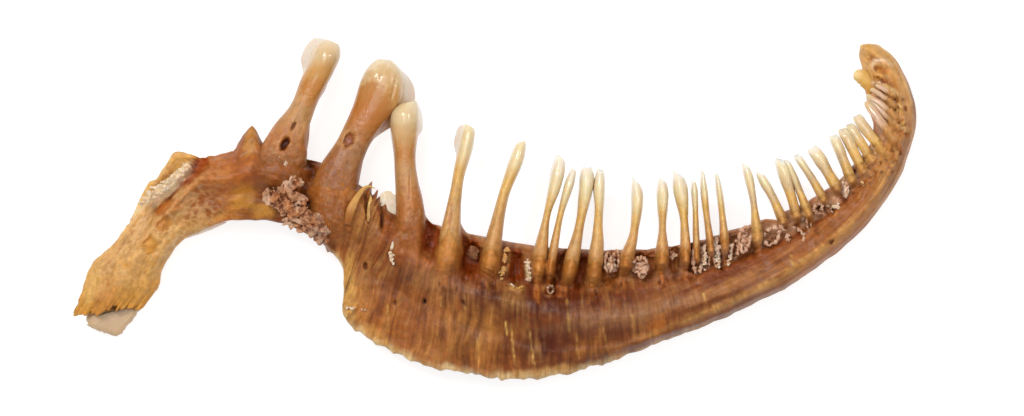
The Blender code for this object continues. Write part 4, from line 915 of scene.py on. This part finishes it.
def netOfCells(flat):
    # a fine net of ridges round rounded hollows, 1 on the net
    low, high = arch["cellField"]
    middles = np.random.default_rng(17).uniform(low, high, (arch["cellCount"], 2))
    net = np.zeros(len(flat))
    close = np.nonzero(flat[:, 0] < high[0] + 1)[0]
    warp = [relief(*flat[close].T, boneLayers[name]) for name in ("warpX", "warpY")]
    warped = flat[close] + 0.12 * np.column_stack(warp)
    for part in np.array_split(np.arange(len(close)), 8):
        away = np.linalg.norm(warped[part, None] - middles[None], axis=2)
        away.partition(1, axis=1)
        net[close[part]] = 1 - smooth(0.0, arch["cellWall"], away[:, 1] - away[:, 0])
    return net


def archTint(flat, at):
    station, share, near = at["station"], at["share"], at["near"]
    fibrous = eased(arch["fibrous"], station)
    rearward = smooth(24, 28, station)
    ragged = relief(*flat.T, boneLayers["patchEdge"])
    ragged += relief(at["along"], at["across"], boneLayers["patchFibres"]) * fibrous
    tint = graded(arch["ground"], station)
    for patch in arch["patches"]:
        weight = inside(flat, patch, 0.5, ragged) * patch["strength"] * near
        tint = blendPaint(tint, (weight, patch["colour"]))

    # strands across the plate, a mottle in front and layers along the rear
    strand = relief(at["bent"], at["across"], boneLayers["strand"])
    mottle = relief(*flat.T, boneLayers["mottle"])
    layered = relief(at["across"], at["along"], boneLayers["layered"])
    strand = (strand * fibrous * 0.8 + mottle * 0.45 * (1 - 0.3 * fibrous) * (1 - 0.5 * rearward)
              + layered * 0.6 * rearward)
    row = smooth(0.60, 0.68, share) * (1 - smooth(0.93, 0.97, share)) * near
    row *= eased(arch["row"], station)
    # the frayed lower margin is painted cream: its paler fibres, with painted light shining through the thin
    # edge
    edge = (1 - smooth(0.0, 0.07 + 0.05 * ragged, share)) * fibrous
    # a painted highlight along the upper rim of the near face
    rimHighlight = smooth(0.95, 0.985, share) * eased(arch["rimHighlight"], station) * near
    tint = blendPaint(
        tint,
        (np.clip(strand - 0.1, 0, 1) * 0.42, "goldenStrand"),
        (np.clip(-strand, 0, 1) * 0.6 * eased(arch["dark"], station), "darkStrand"),
        (netOfCells(flat) * eased(arch["cells"], station) * near, "netting"),
        (row * eased(arch["rowRusset"], station), "russet"),
        (row * eased(arch["rowRim"], station), "rimTan"),
        # cream of the frayed margin, partly painted light through the thin edge
        (np.clip(edge * 0.7 * (0.7 + ragged), 0, 1), "cream"),
        # painted highlight of the upper rim, in light tan
        (np.clip(rimHighlight * (0.7 + ragged), 0, 1), "lightTan"),
        (np.clip(beadLine(at, 0.25) * (0.55 + ragged), 0, 1) * near, "stem"),
    )
    # each pit's colour is painted into its hollow: its own colour, and painted shade where that colour is
    # dark
    for pit in arch["pits"]:
        weight = inside(flat, pit, 0.3, ragged * 0.6) * pit["strength"] * near
        tint = blendPaint(tint, (np.clip(weight, 0, 1), pit["colour"]))
    for seam in arch["seams"]:
        close, away, ends = nearLine(flat, seam["line"])
        weight = np.exp(-(away / seam["wide"]) ** 2) * (0.6 + ragged[close] * 1.6) * near[close] * ends
        tint[close] = blendPaint(tint[close], (np.clip(weight, 0, 1), seam["colour"]))
    for given in teeth:
        close, away, run, _ = rootOf(flat, given)
        rough = ragged[close]
        weight = (1 - smooth(0.6, 1.05, away + rough * 0.5)) * smooth(0.0, 0.24, run + rough * 0.1)
        weight *= near[close]
        root = graded(families[given["family"]]["colours"], run) * (1 + 0.25 * rough[:, None])
        grains = relief(*flat[close].T, boneLayers["rootGrains"])
        tint[close] = blendPaint(
            tint[close] + (root - tint[close]) * weight[:, None],
            (smooth(0.35, 0.8, grains) * weight * 0.12, "netting"),
            (smooth(0.3, 0.9, -grains) * weight * 0.4, "russet"),
        )
    return tint


sides = arch["nearSides"] + arch["farSides"]
archBone, ring, side = tubeBlank("archBone", sides, arch["cuts"])
flat, height, at = archSurface()
height = archRelief(flat, height, at)
index = ring * sides + side
layPoints(archBone, np.column_stack([flat, height])[index])
setTint(archBone, archTint(flat, at)[index])
rooted = rootCover(flat) * at["near"]
setFinish(
    archBone, at["bent"][index], np.where(at["near"] > 0, at["across"], -at["across"])[index],
    grain=eased(arch["grain"], at["station"])[index],
    streaks=(eased(arch["streaks"], at["station"]) * (1 - 0.8 * rooted))[index],
    fibres=(eased(arch["fibrous"], at["station"]) * (1 - rooted))[index],
    glaze=eased(arch["glaze"], at["station"])[index],
)
dress(archBone, finishes["bone"])
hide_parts("anterior_limb", "major_tooth_base", "deep_plate", "middle_arch", "comb_arch",
            "posterior_limb", "posterior_tip")
print("arch bone laid,", len(archBone.data.vertices), "points")


# rings crowd towards the tip; the dome begins this share of the crown's width below it; how early the far
# side swings out; where the foot is sunk, as shares of the root's margin; how square the sides are
toothForm = dict(crowd=1.45, leanStep=0.02, dome=0.55, early=0.12, foot=(0.3, 0.78), square=0.7)
toothLayers = dict(foot=[(0.3, 0.3, 0.05, 20)], poreEdge=[(0.16, 0.16, 0.25, 30)],
                   grains=[(0.13, 0.13, 1, 60)])


def layTooth(piece, given, family, ring, side, seed):
    line = given["line"]
    keyAt, length = keyPlaces(line)
    t = 1 - (1 - ring / ring.max()) ** toothForm["crowd"]
    lean, sideways = heading(keyAt, line, t, toothForm["leanStep"])
    half = through(keyAt, given["wide"], t)[:, 0] / 2
    deep = through(keyAt, family["deep"], t)[:, 0]
    high = through(keyAt, family["high"], t)[:, 0]
    turn = 2 * np.pi * side / (side.max() + 1)
    u, v = np.cos(turn), np.sin(turn)
    crownAt = keyAt[3]
    domeAt = 1 - toothForm["dome"] * given["wide"][4] / length
    dome = np.clip((t - domeAt) / (1 - domeAt), 0, 1)
    closing = np.sqrt(np.clip(1 - (1 - given["blunt"] ** 2) * dome**2, 0, 1))
    farX, farY, early = (*given["far"], toothForm["early"])[:3]
    swing = smooth(crownAt - early, crownAt + 0.04, t) * (1 - smooth(-0.45, 0.25, v))
    flat = through(keyAt, line, t) + sideways * (u * half * closing)[:, None]
    flat += np.array([farX, farY]) * swing[:, None]
    flat += lean * (dome * (-u * given["cusp"] + np.cos(2 * turn) * given["notch"]))[:, None]
    wavy = roughness(t * 7, turn * 0.6 + 0.3, seed + 70) * 0.045
    wavy *= smooth(0.25, 0.4, t) * (1 - smooth(0.8, 0.95, t))
    flat += sideways * (wavy * half * 2)[:, None]
    uneven = 1 + roughness(turn * 1.3, t * 9, seed) * 0.035
    sunk = 1 - smooth(*(share * given["margin"] for share in toothForm["foot"]), t)
    bulge = np.sign(v) * np.abs(v) ** toothForm["square"]
    z = high - roots["sink"] * sunk + bulge * deep * closing * uneven
    z += relief(*flat.T, toothLayers["foot"], seed=seed) * (1 - smooth(0.35, 0.6, t)) * deep
    poreEdge = relief(*flat.T, toothLayers["poreEdge"], seed=seed)
    for pore in given["pores"]:
        z -= inside(flat, pore, 0.16, poreEdge) * (v > 0) * pore["deep"]
    layPoints(piece, np.column_stack([flat, z]))

    tint = graded(family["colours"], np.clip(t + roughness(turn, t * 5, seed + 50) * 0.05, 0, 1))
    # the far, lower side of the crown, swung out beside it, is painted pale: painted light passing through
    # the thin flap
    back = (1 - smooth(-0.15, 0.4, v)) * smooth(crownAt - 0.2, crownAt, t)
    grains = relief(*flat.T, toothLayers["grains"], seed=seed)
    footed = 1 - smooth(0.25, 0.6, t)
    tint = blendPaint(
        tint, (back * 0.65, "flap"), (smooth(0.35, 0.8, grains) * footed * 0.2, "netting"),
        (smooth(0.35, 0.9, -grains) * footed * 0.35, "russet"),
    )
    mottled = roughness(turn * 1.5, t * 7, seed + 90)
    tint *= (1 + 0.10 * mottled * (1 - smooth(0.6, 0.9, t)))[:, None]
    # each pore's colour is painted into it: its own colour, and painted shade in the deep dark pores
    for pore in given["pores"]:
        weight = inside(flat, pore, 0.2, poreEdge) * (v > 0) * pore["strength"]
        tint = blendPaint(tint, (weight, pore["colour"]))
    setTint(piece, tint)
    glaze = smooth(crownAt - 0.3, crownAt - 0.05, t)
    setFinish(piece, u * half * 3 + seed, t * length, streaks=0.6 - 0.4 * glaze, grit=1 - 0.85 * glaze,
              glaze=glaze)


blanks = {}
for number, given in enumerate(teeth, 1):
    family = families[given["family"]]
    if given["family"] not in blanks:
        blanks[given["family"]] = tubeBlank("blank", family["sides"], family["cuts"])
    blank, ring, side = blanks[given["family"]]
    piece = copyOf(blank, f"{given['family']}Tooth{number:02d}")
    layTooth(piece, given, family, ring, side, number)
    dress(piece, finishes["tooth"])
for blank, *_ in blanks.values():
    bpy.data.objects.remove(blank, do_unlink=True)
print("teeth set,", len(teeth))

# Laths of bone: the splinters beside the third tooth, and the rear prong; with them a thin lilac sheet under
# the front limb, a painted shadow
laths = dict(
    sides=16, cuts=(19,),
    each=[
        dict(name="hookedSplinter",
             line=[(-8.75, -0.9), (-8.5, -0.1), (-8.2, 0.6), (-7.6, 1.35), (-7.0, 1.25)],
             wide=(0.4, 0.55, 0.4, 0.18, 0.04), thick=(0.1, 0.14, 0.1, 0.06, 0.03),
             high=(4.4, 4.7, 4.6, 4.35, 4.2), colours=("tan", "stem", "paleGold")),
        dict(name="paleFlap", line=[(-6.25, -1.2), (-6.25, -0.1), (-6.3, 0.6), (-6.4, 1.1)], ragged=0.35,
             wide=(0.5, 0.9, 1.15, 0.7), thick=(0.06, 0.06, 0.05, 0.04), high=(3.3, 3.3, 3.2, 3.1),
             colours=("flap", "flap", "chalk")),
        dict(name="paleSplinter", line=[(-7.5, -2.0), (-7.35, -0.9), (-7.3, 0.1), (-7.35, 0.9)], ragged=0.2,
             wide=(0.4, 0.6, 0.42, 0.12), thick=(0.08, 0.1, 0.08, 0.05), high=(4.0, 4.1, 4.05, 3.9),
             colours=("tan", "stem", "paleGold")),
        # a thin lilac sheet under the lower edge of the front limb: a painted shadow, not bone
        dict(name="innerFilm", line=[(-18.75, -1.75), (-17.9, -1.35), (-16.9, -1.0), (-16.0, -0.75)],
             wide=(0.1, 0.45, 0.4, 0.1), thick=(0.04, 0.05, 0.05, 0.04), high=(2.0, 2.1, 2.1, 2.0),
             colours=("paintedShadowLilac", "paintedShadowLilac", "paintedShadowLilac")),
        dict(name="tornFlake", line=[(-20.9, -4.6), (-20.4, -4.75), (-20.15, -4.55)], wide=(0.5, 0.4, 0.2),
             thick=(0.12, 0.1, 0.06), high=(1.7, 1.65, 1.6), colours=("gold", "paleGold", "cream")),
        dict(name="tipProng", line=[(23.0, 7.35), (22.35, 7.9), (21.7, 8.2)], wide=(1.3, 1.0, 0.62),
             thick=(0.5, 0.4, 0.28), high=(1.75, 1.7, 1.7), colours=("gold", "paleGold", "cream")),
    ],
)


def layLath(piece, given, ring, side):
    line = given["line"]
    keyAt = np.linspace(0, 1, len(line))
    t = ring / ring.max()
    _, sideways = heading(keyAt, line, t, 0.03)
    turn = 2 * np.pi * side / (side.max() + 1)
    closing = np.sqrt(np.clip(1 - 0.96 * smooth(0.88, 1, t) ** 2, 0, 1))
    half = through(keyAt, given["wide"], t)[:, 0] / 2 * closing
    thick = through(keyAt, given["thick"], t)[:, 0] * closing
    high = through(keyAt, given["high"], t)[:, 0]
    # both edges are torn, each in its own way
    torn = roughness(t * 11, np.sign(np.cos(turn)) * 3 + 5, 60 + len(given["name"]))
    torn *= given.get("ragged", 0.1)
    flat = through(keyAt, line, t) + sideways * (np.cos(turn) * half * (1 + torn))[:, None]
    layPoints(piece, np.column_stack([flat, high + np.sin(turn) * thick]))
    setTint(piece, graded(dict(zip((0, 0.5, 1), given["colours"])), t))
    setFinish(piece, np.cos(turn) * half * 2, t * 2, grit=0.6)


blank, ring, side = tubeBlank("blank", laths["sides"], laths["cuts"])
for given in laths["each"]:
    piece = copyOf(blank, given["name"])
    layLath(piece, given, ring, side)
    dress(piece, finishes["bone"])
bpy.data.objects.remove(blank, do_unlink=True)
print("splinters set")

# Dried tissue at the foot of the first two teeth, and spongy plugs in the empty sockets
def crustAlong(line, wide, high, count, light, dark):
    return dict(line=line, wide=wide, high=high, count=count, light=light, dark=dark)


crumbs = dict(
    tissue=[
        (-12.25, 1.55, 4.15, 0.72), (-12.0, 1.95, 4.15, 0.5), (-12.5, 1.0, 4.15, 0.6),
        (-13.35, 0.8, 4.1, 0.55), (-12.9, 0.45, 4.15, 0.58), (-12.3, 0.2, 4.15, 0.65),
        (-11.8, -0.3, 4.15, 0.7), (-11.2, -0.5, 4.1, 0.72), (-10.65, -0.8, 4.05, 0.88),
        (-10.1, -1.2, 4.0, 0.65), (-11.2, -1.05, 3.85, 0.55), (-12.1, -0.75, 3.85, 0.45),
        (-10.3, -1.65, 3.75, 0.5), (-11.6, 0.6, 4.15, 0.45),
    ],
    # place, half widths both ways
    plugs=[
        (7.1, -3.3, 3.45, 0.32, 0.5), (8.9, -3.4, 3.45, 0.34, 0.5), (10.75, -2.75, 3.5, 0.2, 0.34),
        (15.05, -1.85, 3.15, 0.34, 0.6), (16.65, -1.7, 3.38, 0.3, 0.4), (18.55, -0.4, 3.1, 0.2, 0.38),
        (21.15, 1.25, 3.1, 0.28, 0.6), (-4.0, -1.8, 3.2, 0.3, 0.35), (-1.2, -2.6, 3.2, 0.35, 0.5),
        (2.15, -3.6, 3.5, 0.12, 0.65), (1.1, -4.65, 3.8, 0.35, 0.16),
    ],
    tint={1: ("plug", "bulb"), 2: ("rimTan", "bulb"), 4: ("rimTan", "bulb"), 5: ("ash", "umber"),
          8: ("russet", "umber"), 9: ("ash", "umber")},
    # curled walls of empty sockets: place, half widths both ways and turn
    rims=[
        (6.9, -3.2, 3.75, 0.2, 0.62, 4), (7.35, -3.15, 3.75, 0.17, 0.6, -6),
        (8.87, -3.4, 3.75, 0.42, 0.55, 10), (12.25, -3.0, 3.72, 0.26, 0.78, 0),
        (12.85, -2.75, 3.65, 0.14, 0.7, 4), (13.4, -2.6, 3.6, 0.16, 0.74, 0),
        (14.5, -2.4, 3.5, 0.2, 0.55, -14), (15.1, -1.75, 3.5, 0.34, 0.68, -8),
        (16.72, -1.6, 3.45, 0.38, 0.48, -20), (19.5, 0.05, 3.35, 0.24, 0.3, 0),
        (18.95, -0.95, 3.45, 0.12, 0.4, 10), (20.45, -0.05, 3.3, 0.14, 0.28, 40),
        (3.45, -4.78, 3.95, 0.16, 0.24, 0),
    ],
    wall=0.13, rise=0.22, tube=0.25,
    crumble=(0.5, 0.16),                # size of the lumps pushed in and out, coarse and fine
    # crusts of chalky flakes: line, half width, height and tint
    crusts=[
        crustAlong([(-18.3, 2.75), (-19.1, 1.9), (-20.1, 1.1), (-21.0, 0.3)],
                   0.21, 3.24, 84, "chalkTan", "netting"),
        crustAlong([(-20.6, 1.5), (-20.1, 1.3), (-19.7, 1.2)], 0.16, 3.2, 18, "chalk", "netting"),
        crustAlong([(-12.9, 3.3), (-12.4, 2.7), (-12.2, 2.3)], 0.16, 4.5, 26, "plug", "toothBrown"),
        crustAlong([(-6.05, -1.95), (-6.1, -2.6), (-6.0, -3.1)], 0.12, 4.5, 22, "chalk", "stem"),
        crustAlong([(-8.8, -5.9), (-8.3, -5.95), (-7.6, -6.0)], 0.09, 3.65, 16, "chalk", "stem"),
        crustAlong([(2.0, -2.95), (2.15, -3.5), (2.1, -4.3)], 0.14, 4.0, 26, "plug", "toothBrown"),
        crustAlong([(0.85, -2.3), (0.72, -3.0), (0.62, -3.6), (0.5, -4.1)],
                   0.15, 4.02, 36, "paleHoney", "toothBrown"),
        crustAlong([(0.9, -4.5), (1.3, -4.8), (1.85, -4.6)], 0.1, 4.05, 22, "stem", "toothBrown"),
        crustAlong([(12.62, -2.0), (12.72, -2.8), (12.68, -3.6)], 0.12, 3.9, 34, "plug", "toothBrown"),
        crustAlong([(13.36, -1.8), (13.45, -2.6), (13.5, -3.4)], 0.13, 3.9, 34, "chalk", "toothBrown"),
        crustAlong([(14.2, -2.0), (14.27, -2.7), (14.05, -3.3)], 0.11, 3.8, 28, "plug", "toothBrown"),
        crustAlong([(17.2, -1.0), (17.5, -1.3), (17.7, -1.9)], 0.12, 3.7, 24, "rimTan", "toothBrown"),
        crustAlong([(18.1, -1.1), (18.5, -1.3), (18.6, -1.8)], 0.1, 3.65, 20, "rimTan", "toothBrown"),
        crustAlong([(19.9, 0.3), (20.4, 0.1), (20.7, 0.2)], 0.13, 3.4, 14, "plug", "toothBrown"),
        crustAlong([(21.9, 2.0), (22.2, 1.6), (22.3, 1.2)], 0.12, 3.2, 12, "netting", "toothBrown"),
        crustAlong([(22.9, 3.4), (23.1, 2.9), (23.2, 2.5)], 0.12, 3.1, 12, "netting", "toothBrown"),
    ],
)


def scatterCrumbs(name, lumps, each, seed):
    # small boulders strewn over a few balls, as one loose mesh
    rng = np.random.default_rng(seed)
    bpy.ops.object.select_all(action="DESELECT")
    bpy.ops.mesh.primitive_ico_sphere_add(subdivisions=1, radius=1)
    stone = bpy.context.object
    corner = pointsOf(stone)
    faces = np.zeros(len(stone.data.polygons) * 3, int)
    stone.data.polygons.foreach_get("vertices", faces)
    bpy.data.objects.remove(stone, do_unlink=True)
    points = []
    for x, y, z, wide, *rest in lumps:
        tall = rest[0] if rest else wide
        least = min(wide, tall)
        ball = np.array([wide, tall, least])
        ways = rng.normal(size=(each, 3))
        ways /= np.linalg.norm(ways, axis=1)[:, None]
        ways[:, 2] = np.abs(ways[:, 2]) * 0.9
        middle = np.array([x, y, z]) + ways * ball * rng.uniform(0.3, 1, (each, 1))
        size = (0.08 + 0.5 * rng.uniform(0, 1, (each, 1)) ** 2.5) * least + 0.03
        shape = rng.uniform(0.2, 1.7, (each, 1, 3)) * size[:, None]
        bend = 1 + rng.uniform(-0.3, 0.3, (each, len(corner), 1))
        turned = np.array([stoneTurn(rng) for _ in range(each)])
        stones = middle[:, None] + np.einsum("nij,nkj->nki", turned, corner[None] * bend * shape)
        core = np.array([x, y, z]) + corner * ball * 0.85
        points.append(np.concatenate([stones.reshape(-1, 3), core]))
    points = np.concatenate(points)
    count = len(points) // len(corner)
    corners = (faces.reshape(1, -1, 3) + np.arange(count)[:, None, None] * len(corner)).reshape(-1, 3)
    mesh = bpy.data.meshes.new(name)
    mesh.from_pydata((points * mm).tolist(), [], corners.tolist())
    piece = bpy.data.objects.new(name, mesh)
    bpy.context.scene.collection.objects.link(piece)
    onlyThis(piece)
    return piece


def lumpsOf(crust, seed):
    # small lumps beside one another along the line of a crust
    rng = np.random.default_rng(seed)
    t = rng.uniform(0, 1, crust["count"])
    place = through(np.linspace(0, 1, len(crust["line"])), crust["line"], t)
    place += rng.normal(size=place.shape) * crust["wide"] * 0.5
    size = crust["wide"] * rng.uniform(0.4, 1.1, len(t))
    return [(x, y, crust["high"] + rng.uniform(-0.12, 0.0), wide, wide * rng.uniform(0.4, 1))
            for (x, y), wide in zip(place, size)]


def stoneTurn(rng):
    # a random turn as a matrix
    q = rng.normal(size=4)
    w, x, y, z = q / np.linalg.norm(q)
    return np.array([
        [1 - 2 * (y * y + z * z), 2 * (x * y - z * w), 2 * (x * z + y * w)],
        [2 * (x * y + z * w), 1 - 2 * (x * x + z * z), 2 * (y * z - x * w)],
        [2 * (x * z - y * w), 2 * (y * z + x * w), 1 - 2 * (x * x + y * y)],
    ])


def crumbleUp(piece, seed, tall):
    # lumps pushed in and out, coarse first
    for step, size in enumerate(crumbs["crumble"]):
        texture = bpy.data.textures.new(f"crumble{seed}{step}", "CLOUDS")
        texture.noise_scale = size * mm
        shapeWith(piece, "DISPLACE", texture=texture, texture_coords="LOCAL", strength=tall[step] * mm,
                  mid_level=0.5)


def lumpOf(name, lumps, each, voxel, tall, seed, chip=None):
    # the crumbs grow together into one crumbly body
    piece = scatterCrumbs(name, lumps, each, seed)
    shapeWith(piece, "REMESH", mode="VOXEL", voxel_size=voxel * mm)
    crumbleUp(piece, seed, tall)
    if chip:
        # flat broken faces
        shapeWith(piece, "DECIMATE", ratio=chip)
        bpy.ops.object.shade_smooth_by_angle(angle=math.radians(28))
    else:
        bpy.ops.object.shade_smooth()
    return piece


def socketRim(name, rim, seed):
    # a ring drawn out to the socket, its wall waved and torn
    x, y, z, wide, tall, turn = rim
    tube, wall = crumbs["tube"], crumbs["wall"] * min(1, 3.5 * min(wide, tall))
    bpy.ops.object.select_all(action="DESELECT")
    bpy.ops.mesh.primitive_torus_add(major_segments=84, minor_segments=18, major_radius=1, minor_radius=tube)
    piece = bpy.context.object
    piece.name = name
    co = pointsOf(piece)
    reach = np.hypot(co[:, 0], co[:, 1])
    c, s = co[:, 0] / reach, co[:, 1] / reach
    outward, up = (reach - 1) / tube, co[:, 2] / tube
    wave, torn = roughness(c * 1.6, s * 1.6, seed), roughness(c * 4.5, s * 4.5, seed + 1)
    away = np.column_stack([c / wide, s / tall])
    away /= np.linalg.norm(away, axis=1)[:, None]
    flat = np.column_stack([c * wide, s * tall]) * (1 + 0.25 * wave)[:, None]
    flat += away * (outward * wall * (1 + 0.5 * torn))[:, None]
    flat += away * roughness(c * 9 + up, s * 9 + outward, seed + 2)[:, None] * 0.04
    high = z + up * crumbs["rise"] * (1 + 0.5 * torn) + 0.12 * wave
    high += roughness(c * 8, s * 8, seed + 3) * 0.07
    high -= smooth(0.1, 0.55, roughness(c * 1.2, s * 1.2, seed + 4)) * 0.5      # torn down in places
    a = math.radians(turn)
    flat = flat @ np.array([[math.cos(a), math.sin(a)], [-math.sin(a), math.cos(a)]]) + (x, y)
    layPoints(piece, np.column_stack([flat, high]))
    return piece


def cavity(piece, rounds=8):
    # how deep each point lies below the smoothed form, in millimetres
    co, ends = pointsOf(piece) / mm, edgeEnds(piece)
    smoothed = co.copy()
    share = np.bincount(ends.ravel(), minlength=len(co))[:, None]
    for _ in range(rounds):
        total = np.zeros_like(co)
        np.add.at(total, ends[:, 0], smoothed[ends[:, 1]])
        np.add.at(total, ends[:, 1], smoothed[ends[:, 0]])
        smoothed = total / np.maximum(share, 1)
    return ((smoothed - co) * pointsOf(piece, "normal")).sum(1)


def crumbTint(piece, light, dark, scale, seed, shade=0.06):
    co = pointsOf(piece) / mm
    rough = roughness(co[:, 0] / scale, co[:, 1] / scale + co[:, 2], seed)
    fine = roughness(co[:, 0] / scale * 3, co[:, 1] / scale * 3 + co[:, 2] * 2, seed + 1)
    # points sunk below the smoothed form are painted darker: painted shade in the hollows, over the crumbs'
    # own mottle
    weight = np.clip(0.7 + 0.3 * rough + 0.25 * fine - cavity(piece) / shade, 0, 1)
    tint = paint(dark) + (paint(light) - paint(dark)) * weight[:, None]
    if light == "tissue":
        tint = blendPaint(
            tint,
            (smooth(0.05, 0.6, rough) * 0.55 * weight, "plug"),
            (smooth(-11.9, -10.3, co[:, 0]) * 0.35, "umber"),
            (smooth(0.1, 0.7, -rough) * 0.55, "toothBrown"),
            (smooth(0.1, 0.6, fine) * 0.5 * smooth(0.2, 1.6, co[:, 1]) * weight, "driedGrey"),
            (smooth(0.1, 0.6, -fine) * 0.6 * smooth(-12.5, -10, co[:, 0]), "socketRed"),
        )
    setTint(piece, tint)
    setFinish(piece, co[:, 0], co[:, 1], streaks=1, fibres=0.6)


driedTissue = lumpOf("driedTissue", crumbs["tissue"], 16, 0.034, (0.34, 0.15), 3, chip=0.3)
crumbTint(driedTissue, "tissue", "tissueDarkAndShade", 0.45, 61, 0.09)
dress(driedTissue, finishes["tissue"])
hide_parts("dried_tissue")
for number, plug in enumerate(crumbs["plugs"], 1):
    piece = lumpOf(f"spongyPlug{number}", [plug], 46, 0.035, (0.12, 0.05), 10 + number)
    crumbTint(piece, *crumbs["tint"].get(number, ("plug", "bulb")), 0.3, 70 + number)
    dress(piece, finishes["spongy"])
for number, crust in enumerate(crumbs["crusts"], 1):
    piece = lumpOf(f"crust{number}", lumpsOf(crust, 30 + number), 5, 0.03, (0.1, 0.07), 40 + number)
    crumbTint(piece, crust["light"], crust["dark"], 0.3, 90 + number)
    dress(piece, finishes["spongy"])
for number, rim in enumerate(crumbs["rims"], 1):
    piece = socketRim(f"socketRim{number:02d}", rim, 110 + number)
    crumbTint(piece, "rimTan", "toothBrown", 0.3, 140 + number, 0.14)
    dress(piece, finishes["spongy"])
print("tissue, plugs, crusts and rims made")

# The pale sheet of gristle left at the torn front end
gristle = dict(
    outline=[(-24.5, -6.8), (-24.15, -7.2), (-23.3, -7.5), (-22.7, -7.6), (-22.3, -7.4), (-21.84, -6.8),
             (-21.42, -6.3), (-20.95, -5.55), (-21.6, -5.2), (-23.4, -5.6), (-24.3, -6.2)],
    low=0.55, thick=1.05,
)


def gristleSheet():
    outline = gristle["outline"]
    count = len(outline) * 12
    keys = {i: outline[i % len(outline)] for i in range(-2, len(outline) + 3)}
    rim = curved(keys, np.linspace(0, len(outline), count, endpoint=False))
    sheet, ring, side = tubeBlank("endCartilage", count, (15,))
    t = ring / ring.max()
    centre = rim.mean(0)
    closing = np.clip(np.sin(np.pi * t), 0, 1) ** 0.25
    ragged = roughness(side / 5.0, 0.5, 81) * 0.07 + roughness(side / 2.0, 0.5, 83) * 0.045
    spread = rim[side] - centre
    flat = centre + spread * (0.03 + 0.97 * closing)[:, None]
    flat += spread * (ragged * closing)[:, None]
    z = gristle["low"] + gristle["thick"] * (1 - np.cos(np.pi * t)) / 2
    layPoints(sheet, np.column_stack([flat, z]))
    rough = roughness(flat[:, 0] * 2, flat[:, 1] * 2, 82)
    setTint(sheet, paint("gristle") * (1 + 0.06 * rough)[:, None])
    setFinish(sheet, flat[:, 0], flat[:, 1])
    return sheet


endCartilage = dress(gristleSheet(), finishes["gristle"])
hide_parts("symphysis_cartilage")
print("gristle laid")

# Floor, light and camera
studio = dict(
    floorGlow=0.80, floorWhite=0.35, worldStrength=0.4,
    lamps=[
        dict(name="key", at=(-0.18, 0.18, 0.38), size=0.12, watts=1.1),
        dict(name="glint", at=(-0.07, 0.1, 0.48), size=0.05, long=0.1, watts=0.25),
        dict(name="fill", at=(0.30, 0.05, 0.34), size=0.12, watts=0.38),
        dict(name="top", at=(0.0, 0.05, 0.62), size=0.3, watts=0.7),
    ],
    seenWidth=61.44, distance=500.0, aim=(1.14, 0.09), level=3.0, sensor=36, backdrop=0.97,
)


def makeFloor():
    bpy.ops.object.select_all(action="DESELECT")
    bpy.ops.mesh.primitive_plane_add(size=12, location=(0, 0, 0))
    floor = bpy.context.object
    floor.name = "floor"
    material = bpy.data.materials.new("paleFloor")
    material.use_nodes = True
    shader = material.node_tree.nodes["Principled BSDF"]
    shader.inputs["Base Color"].default_value = (studio["floorWhite"],) * 3 + (1,)
    shader.inputs["Roughness"].default_value = 1.0
    shader.inputs["Specular IOR Level"].default_value = 0.0
    shader.inputs["Emission Color"].default_value = (1, 1, 1, 1)
    shader.inputs["Emission Strength"].default_value = studio["floorGlow"]
    floor.data.materials.append(material)


def makeLamp(given):
    data = bpy.data.lights.new(given["name"], "AREA")
    data.size = given["size"]
    if "long" in given:
        data.shape, data.size_y = "RECTANGLE", given["long"]
    data.energy = given["watts"]
    lamp = bpy.data.objects.new(given["name"], data)
    bpy.context.scene.collection.objects.link(lamp)
    lamp.location = given["at"]
    lamp.rotation_euler = (-Vector(given["at"])).to_track_quat("-Z", "Y").to_euler()
    lamp.visible_camera = False


def makeWorld():
    world = bpy.data.worlds.new("studio")
    bpy.context.scene.world = world
    world.use_nodes = True
    nodes, links = world.node_tree.nodes, world.node_tree.links
    back = nodes["Background"]
    path = nodes.new("ShaderNodeLightPath")
    mix = nodes.new("ShaderNodeMix")
    mix.inputs["A"].default_value = studio["worldStrength"]
    mix.inputs["B"].default_value = studio["backdrop"]      # what the camera sees behind the floor
    links.new(path.outputs["Is Camera Ray"], mix.inputs["Factor"])
    links.new(mix.outputs["Result"], back.inputs["Strength"])
    back.inputs["Color"].default_value = (1, 1, 1, 1)


def makeCamera():
    data = bpy.data.cameras.new("camera")
    data.sensor_width = studio["sensor"]
    data.lens = studio["sensor"] * (studio["distance"] - studio["level"]) / studio["seenWidth"]
    data.clip_start, data.clip_end = 0.01, 10
    camera = bpy.data.objects.new("camera", data)
    bpy.context.scene.collection.objects.link(camera)
    camera.location = (studio["aim"][0] * mm, studio["aim"][1] * mm, studio["distance"] * mm)
    bpy.context.scene.camera = camera


makeFloor()
for given in studio["lamps"]:
    makeLamp(given)
makeWorld()
makeCamera()
bpy.context.scene.view_settings.view_transform = "Standard"
print("studio set")
